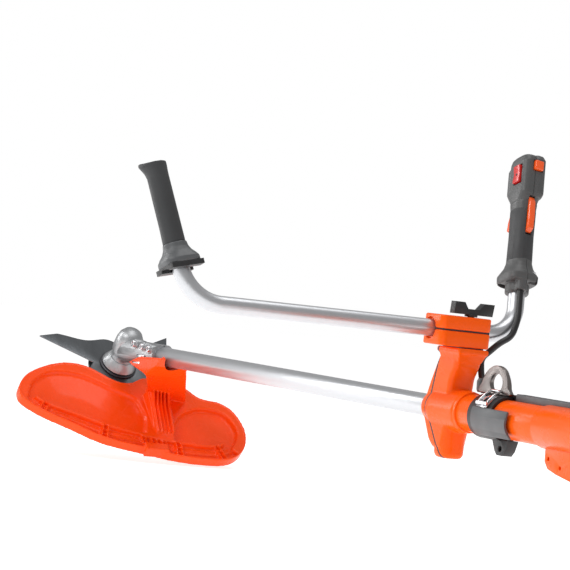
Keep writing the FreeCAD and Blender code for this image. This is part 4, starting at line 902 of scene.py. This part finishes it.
def handle_trim():
    """The soft sleeve on the grip, painted shade in the wells of the switches and the dot of the stop switch."""
    sleeve = build("handle_sleeve", [loft([
        (110, 18.6, 16.2, 2.3, 0, 0), (111, 19.4, 17.0, 2.3, 0, 0), (150, 18.8, 16.4, 2.3, 0, 0),
        (188, 19.2, 16.8, 2.4, 0, 0), (190, 18.4, 16.0, 2.4, 0, 0)])], RIGHT)
    carve(sleeve, [
        loft([(100, 17.6, 15.2, 2.3, 0, 0), (200, 17.6, 15.2, 2.4, 0, 0)]),
        slab((-40, -6), (-6.2, 6.2), (154, 218)),
        slab((11, 40), (-5.1, 5.1), (149, 208)),
    ], RIGHT)
    smooth_shade(sleeve, 40)
    detail(sleeve, "handle_shell_left", "grip_rubber")
    # painted shade: black sheets on the floors of the stop rocker's and the start key's wells
    well_shade = build("switch_well_shade", [slab((-3.9, 15.4), (-14.2, -13.1), (226.1, 255.9)),
                                 slab((10.9, 11.5), (-3.9, 11.9), (246.1, 262.9))], RIGHT)
    detail(well_shade, "handle_shell_left", "black_plastic")
    screws = dressed("handle_screws", 0.3)
    carve(screws, [slab((-40, 60), side, (70, 125)) for side in ((-60, -15), (15, 60))], RIGHT)
    dot = build("switch_dot", [rod(1.7, (6, -19.9, 240), (6, -17, 240), 24)], RIGHT)
    detail(dot, "stop_switch", "black_plastic")


def switches():
    """The waisted stop rocker on the side and the start key on the back."""
    rocker = build("stop_rocker", [prism(((-12, 228), (-21, 228), (-19.4, 241), (-21, 254), (-12, 254)),
                                         -2, 13.5, "x")], RIGHT)
    use(bevelled(rocker, 0.7, 3, 50), "stop_switch")
    button = build("start_key", [slab((15, 30), (-2.8, 10.8), (247.5, 261.5))], RIGHT)
    use(bevelled(button, 1.6), "start_button")


right_handle()
handle_trim()
switches()


# -- left grip -------------------------------------------------------------------------------------------

LEFT_BORE = 12.02


def left_handle():
    """A closed rubber grip whose top lip reaches outward, on a flared hand stop."""
    lip = [(z, radius, radius, 2, -(radius - 15) * 0.9, -(radius - 15) * 0.45)
           for z, radius in ((80, 15.4), (100, 15.0), (172, 14.8), (178, 15.8), (183, 17.6), (186.5, 18.8),
                             (190, 18.8), (191.5, 17.6))]
    spots, faces = loft(lip)
    spots = [(x, y, z + max(0.0, -x) * 0.34 * float(ease((z - 166) / 20))) for x, y, z in spots]
    grip = build("left_rubber", [(spots, faces)], LEFT)
    mould(grip, 0.9, 3)
    carve(grip, [rod(LEFT_BORE, (0, 0, 60), (0, 0, 190), 48)], LEFT)
    use(bevelled(grip, 0.3, 2, 60), "left_grip")
    base = build("left_stop", [
        loft([(50, 24, 24, 3.4, 0, 0), (51.5, 25.5, 25.5, 3.4, 0, 0), (57, 25.5, 25.5, 3.2, 0, 0),
              (62, 23, 23, 2.8, 0, 0), (67, 19.5, 19.5, 2.4, 0, 0), (73, 17.2, 17.2, 2.1, 0, 0),
              (80, 16.2, 16.2, 2, 0, 0)]),
    ], LEFT)
    mould(base, 0.9, 3)
    carve(base, [rod(LEFT_BORE, (0, 0, 40), (0, 0, 90), 48)], LEFT)
    use(bevelled(base, 0.3, 2, 60), "left_grip_collar", material="grey_plastic")
    tread = build("left_stop_underside", [slab((-24.5, 24.5), (-24, 24), (43.5, 50.4))], LEFT)
    carve(tread, [rod(14, (0, 0, 40), (0, 0, 60), 48), slab((-9, 11), (-40, 40), (40, 47.5))], LEFT)
    detail(bevelled(tread, 0.6), "left_grip_collar", "black_plastic")


left_handle()


# -- harness fitting -------------------------------------------------------------------------------------

EYE_OUTLINE = ((67, 31), (70, 46), (78, 59), (92, 68), (107, 70), (122, 65), (133, 52), (137, 41), (138, 31))
EYE_HOLE = (106, 46.5)      # the middle of the loop's oval hole


def knob_tab():
    """The finger tab of the eye's screw, on a short stem."""
    tab = loft([(30, 3.6, 4.0, 2.4, 55, 5), (33, 5.0, 5.6, 2.4, 55, 5), (45, 5.0, 6.6, 2.4, 55, 5),
                (49, 3.4, 4.6, 2.4, 55, 5)], 40)
    knob = build("knob_tab", [tab, rod(3, (57, 8, 29), (57, 8, 34), 24)], MACHINE)
    use(bevelled(knob, 0.6), "eye_knob")


def clamp_cover():
    """The cover under the fitting, with a round hollow at its rear."""
    carve(dressed("clamp_cover", 0.8), [rod(34, (218, -60, -8), (218, 20, -8), 64)], MACHINE)


def latch_bail():
    """Two bent wires joined above and below, with a plate along the lower one."""
    wires = []
    for shift in (0, 22):
        path = [(99 + shift, -4, 36), (104 + shift, -18, 29.5), (107 + shift, -27, 22.5),
                (108.5 + shift, -31, 18)]
        wires += [rod(1.8, start, end, 20) for start, end in zip(path, path[1:])]
    wires += [rod(1.8, (98, -4, 36), (122, -4, 36), 20), rod(1.8, (107, -31, 18), (132, -31, 18), 20),
              slab((106, 133), (-32.6, -31), (16.6, 20.6))]
    bail = build("latch_bail", wires, MACHINE)
    smooth_shade(bail, 50)
    detail(bail, "latch_plate", "bright_fasteners")


def eye():
    """The steel loop of the harness, with a tall oval hole."""
    points = smooth_loop(EYE_OUTLINE, 8)
    points = [(float(x), max(float(z), 31.0)) for x, z in points]
    loop = build("eye_loop", [prism(points, -3.6, 3.6)], MACHINE)
    hole = [(EYE_HOLE[0] + 15.5 * math.cos(a), EYE_HOLE[1] + 13 * math.sin(a))
            for a in (2 * math.pi * k / 48 for k in range(48))]
    carve(loop, [prism(hole, -10, 10)], MACHINE)
    use(bevelled(loop, 2.0, 4, 40), "suspension_eye")


knob_tab()
clamp_cover()
latch_bail()
eye()


# -- cutting head ----------------------------------------------------------------------------------------

HEAD_SCREWS = ((88, 15), (124, 12), (152, 10))      # along the tube and above its axis


def gear_head():
    """The housing with a plain top, a tall dome over the gears and three screwed bosses on the near side."""
    carve(dressed("gear_housing"), [slab((70, 175), (-40, 40), (19.5, 60))], TUBE)
    dome = build("gear_dome", [lathe([(20, -4), (23.5, -3), (24.5, 8), (24.6, 20), (22.6, 31), (17.5, 39.5),
                                      (10, 44.5), (0, 46)])], HEAD)
    smooth_shade(dome, 50)
    detail(dome, "gear_housing")
    bosses = build("socket_bosses", [rod(8.5, (x, -22, z), (x, -8, z), 40) for x, z in HEAD_SCREWS], TUBE)
    detail(bevelled(bosses, 0.8), "gear_housing")
    heads = build("boss_screws", [rod(6.0, (x, -27.5, z), (x, -21.5, z), 36) for x, z in HEAD_SCREWS], TUBE)
    carve(heads, [rod(2.9, (x, -30, z), (x, -24.0, z), 6) for x, z in HEAD_SCREWS], TUBE)
    use(bevelled(heads, 0.5), "gear_clamp_screws")
    # painted shade: black discs at the bottoms of the screws' hex sockets
    socket_shades = build("boss_socket_shades", [rod(2.8, (x, -24.4, z), (x, -23.6, z), 6) for x, z in HEAD_SCREWS], TUBE)
    detail(socket_shades, "gear_clamp_screws", "black_plastic")


gear_head()


# -- painted shade in the gaps of the handlebar clamp ----------------------------------------------------

def gap_shade_sheets():
    """Thin dark sheets in the gaps of the handlebar clamp, painted shade where the gaps lie in shadow."""
    # painted shade: a dark sheet in the split between the clamp's two halves
    clamp_shade = build("clamp_gap_shade", [slab((-17, 31), (-51, 24), (109.2, 112.2))], MACHINE)
    carve(clamp_shade, [bar_bore(12.3, 48), screw_bore(5.3, 100, 120)], MACHINE)
    detail(clamp_shade, "lower_clamp", "black_plastic")
    # painted shade: a dark sheet in the gap between the riser's flange and the lower clamp
    swivel_shade = build("swivel_gap_shade", [slab((-17, 31), (-20, 17), (87.0, 88.3))], MACHINE)
    carve(swivel_shade, [screw_bore(5.3, 80, 95)], MACHINE)
    detail(swivel_shade, "riser_front", "black_plastic")


gap_shade_sheets()


# -- cables and rope -------------------------------------------------------------------------------------

def stretched(piece, slot):
    """Finishes a cord in its slot's material, with its placement baked into its mesh."""
    smooth_shade(piece, 60)
    piece.data.materials.clear()
    piece.data.materials.append(MATERIALS[slot])
    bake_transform(piece)


def cable(node):
    """A smooth copy of a CAD cable, in its slot's finish, which takes the CAD cable's place."""
    piece = link(node + "_rubber", frame["nodes"][node].data.copy())
    stretched(piece, SLOT_OF[node])
    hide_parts(node)
    replaced.add(node)


cable("throttle_cable_upper")
cable("throttle_cable_lower")


def starter_rope():
    """The recoil rope, a short cord from inside the starter housing to its handle."""
    way = Vector(JOINTS["starter_pull"]["axis"])
    _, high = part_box("starter_handle")
    grip = Vector((high.x - 7.5 * MM, ORIGIN.y, high.z - 7.5 * MM))
    inside, outside = grip - way * 34 * MM, grip - way * 3 * MM
    rope = build("starter_rope", [rod(1.9 * MM, inside, outside, 24)], Matrix.Identity(4))
    stretched(rope, "cable_rubber")


starter_rope()


# -- the other CAD pieces, with their edges rounded ------------------------------------------------------

EDGE_WIDTHS = {
    "wing_screw": 2.0, "cable_cover": 1.2, "clutch_housing": 1.5, "crankcase": 1.5, "engine_cover": 3.0,
    "starter_housing": 1.5, "fuel_tank": 3.0, "engine_stand": 2.0, "filter_cover": 2.0, "muffler": 1.5,
}

for node in frame["nodes"]:
    if node not in replaced:
        dressed(node, EDGE_WIDTHS.get(node, 0.6))
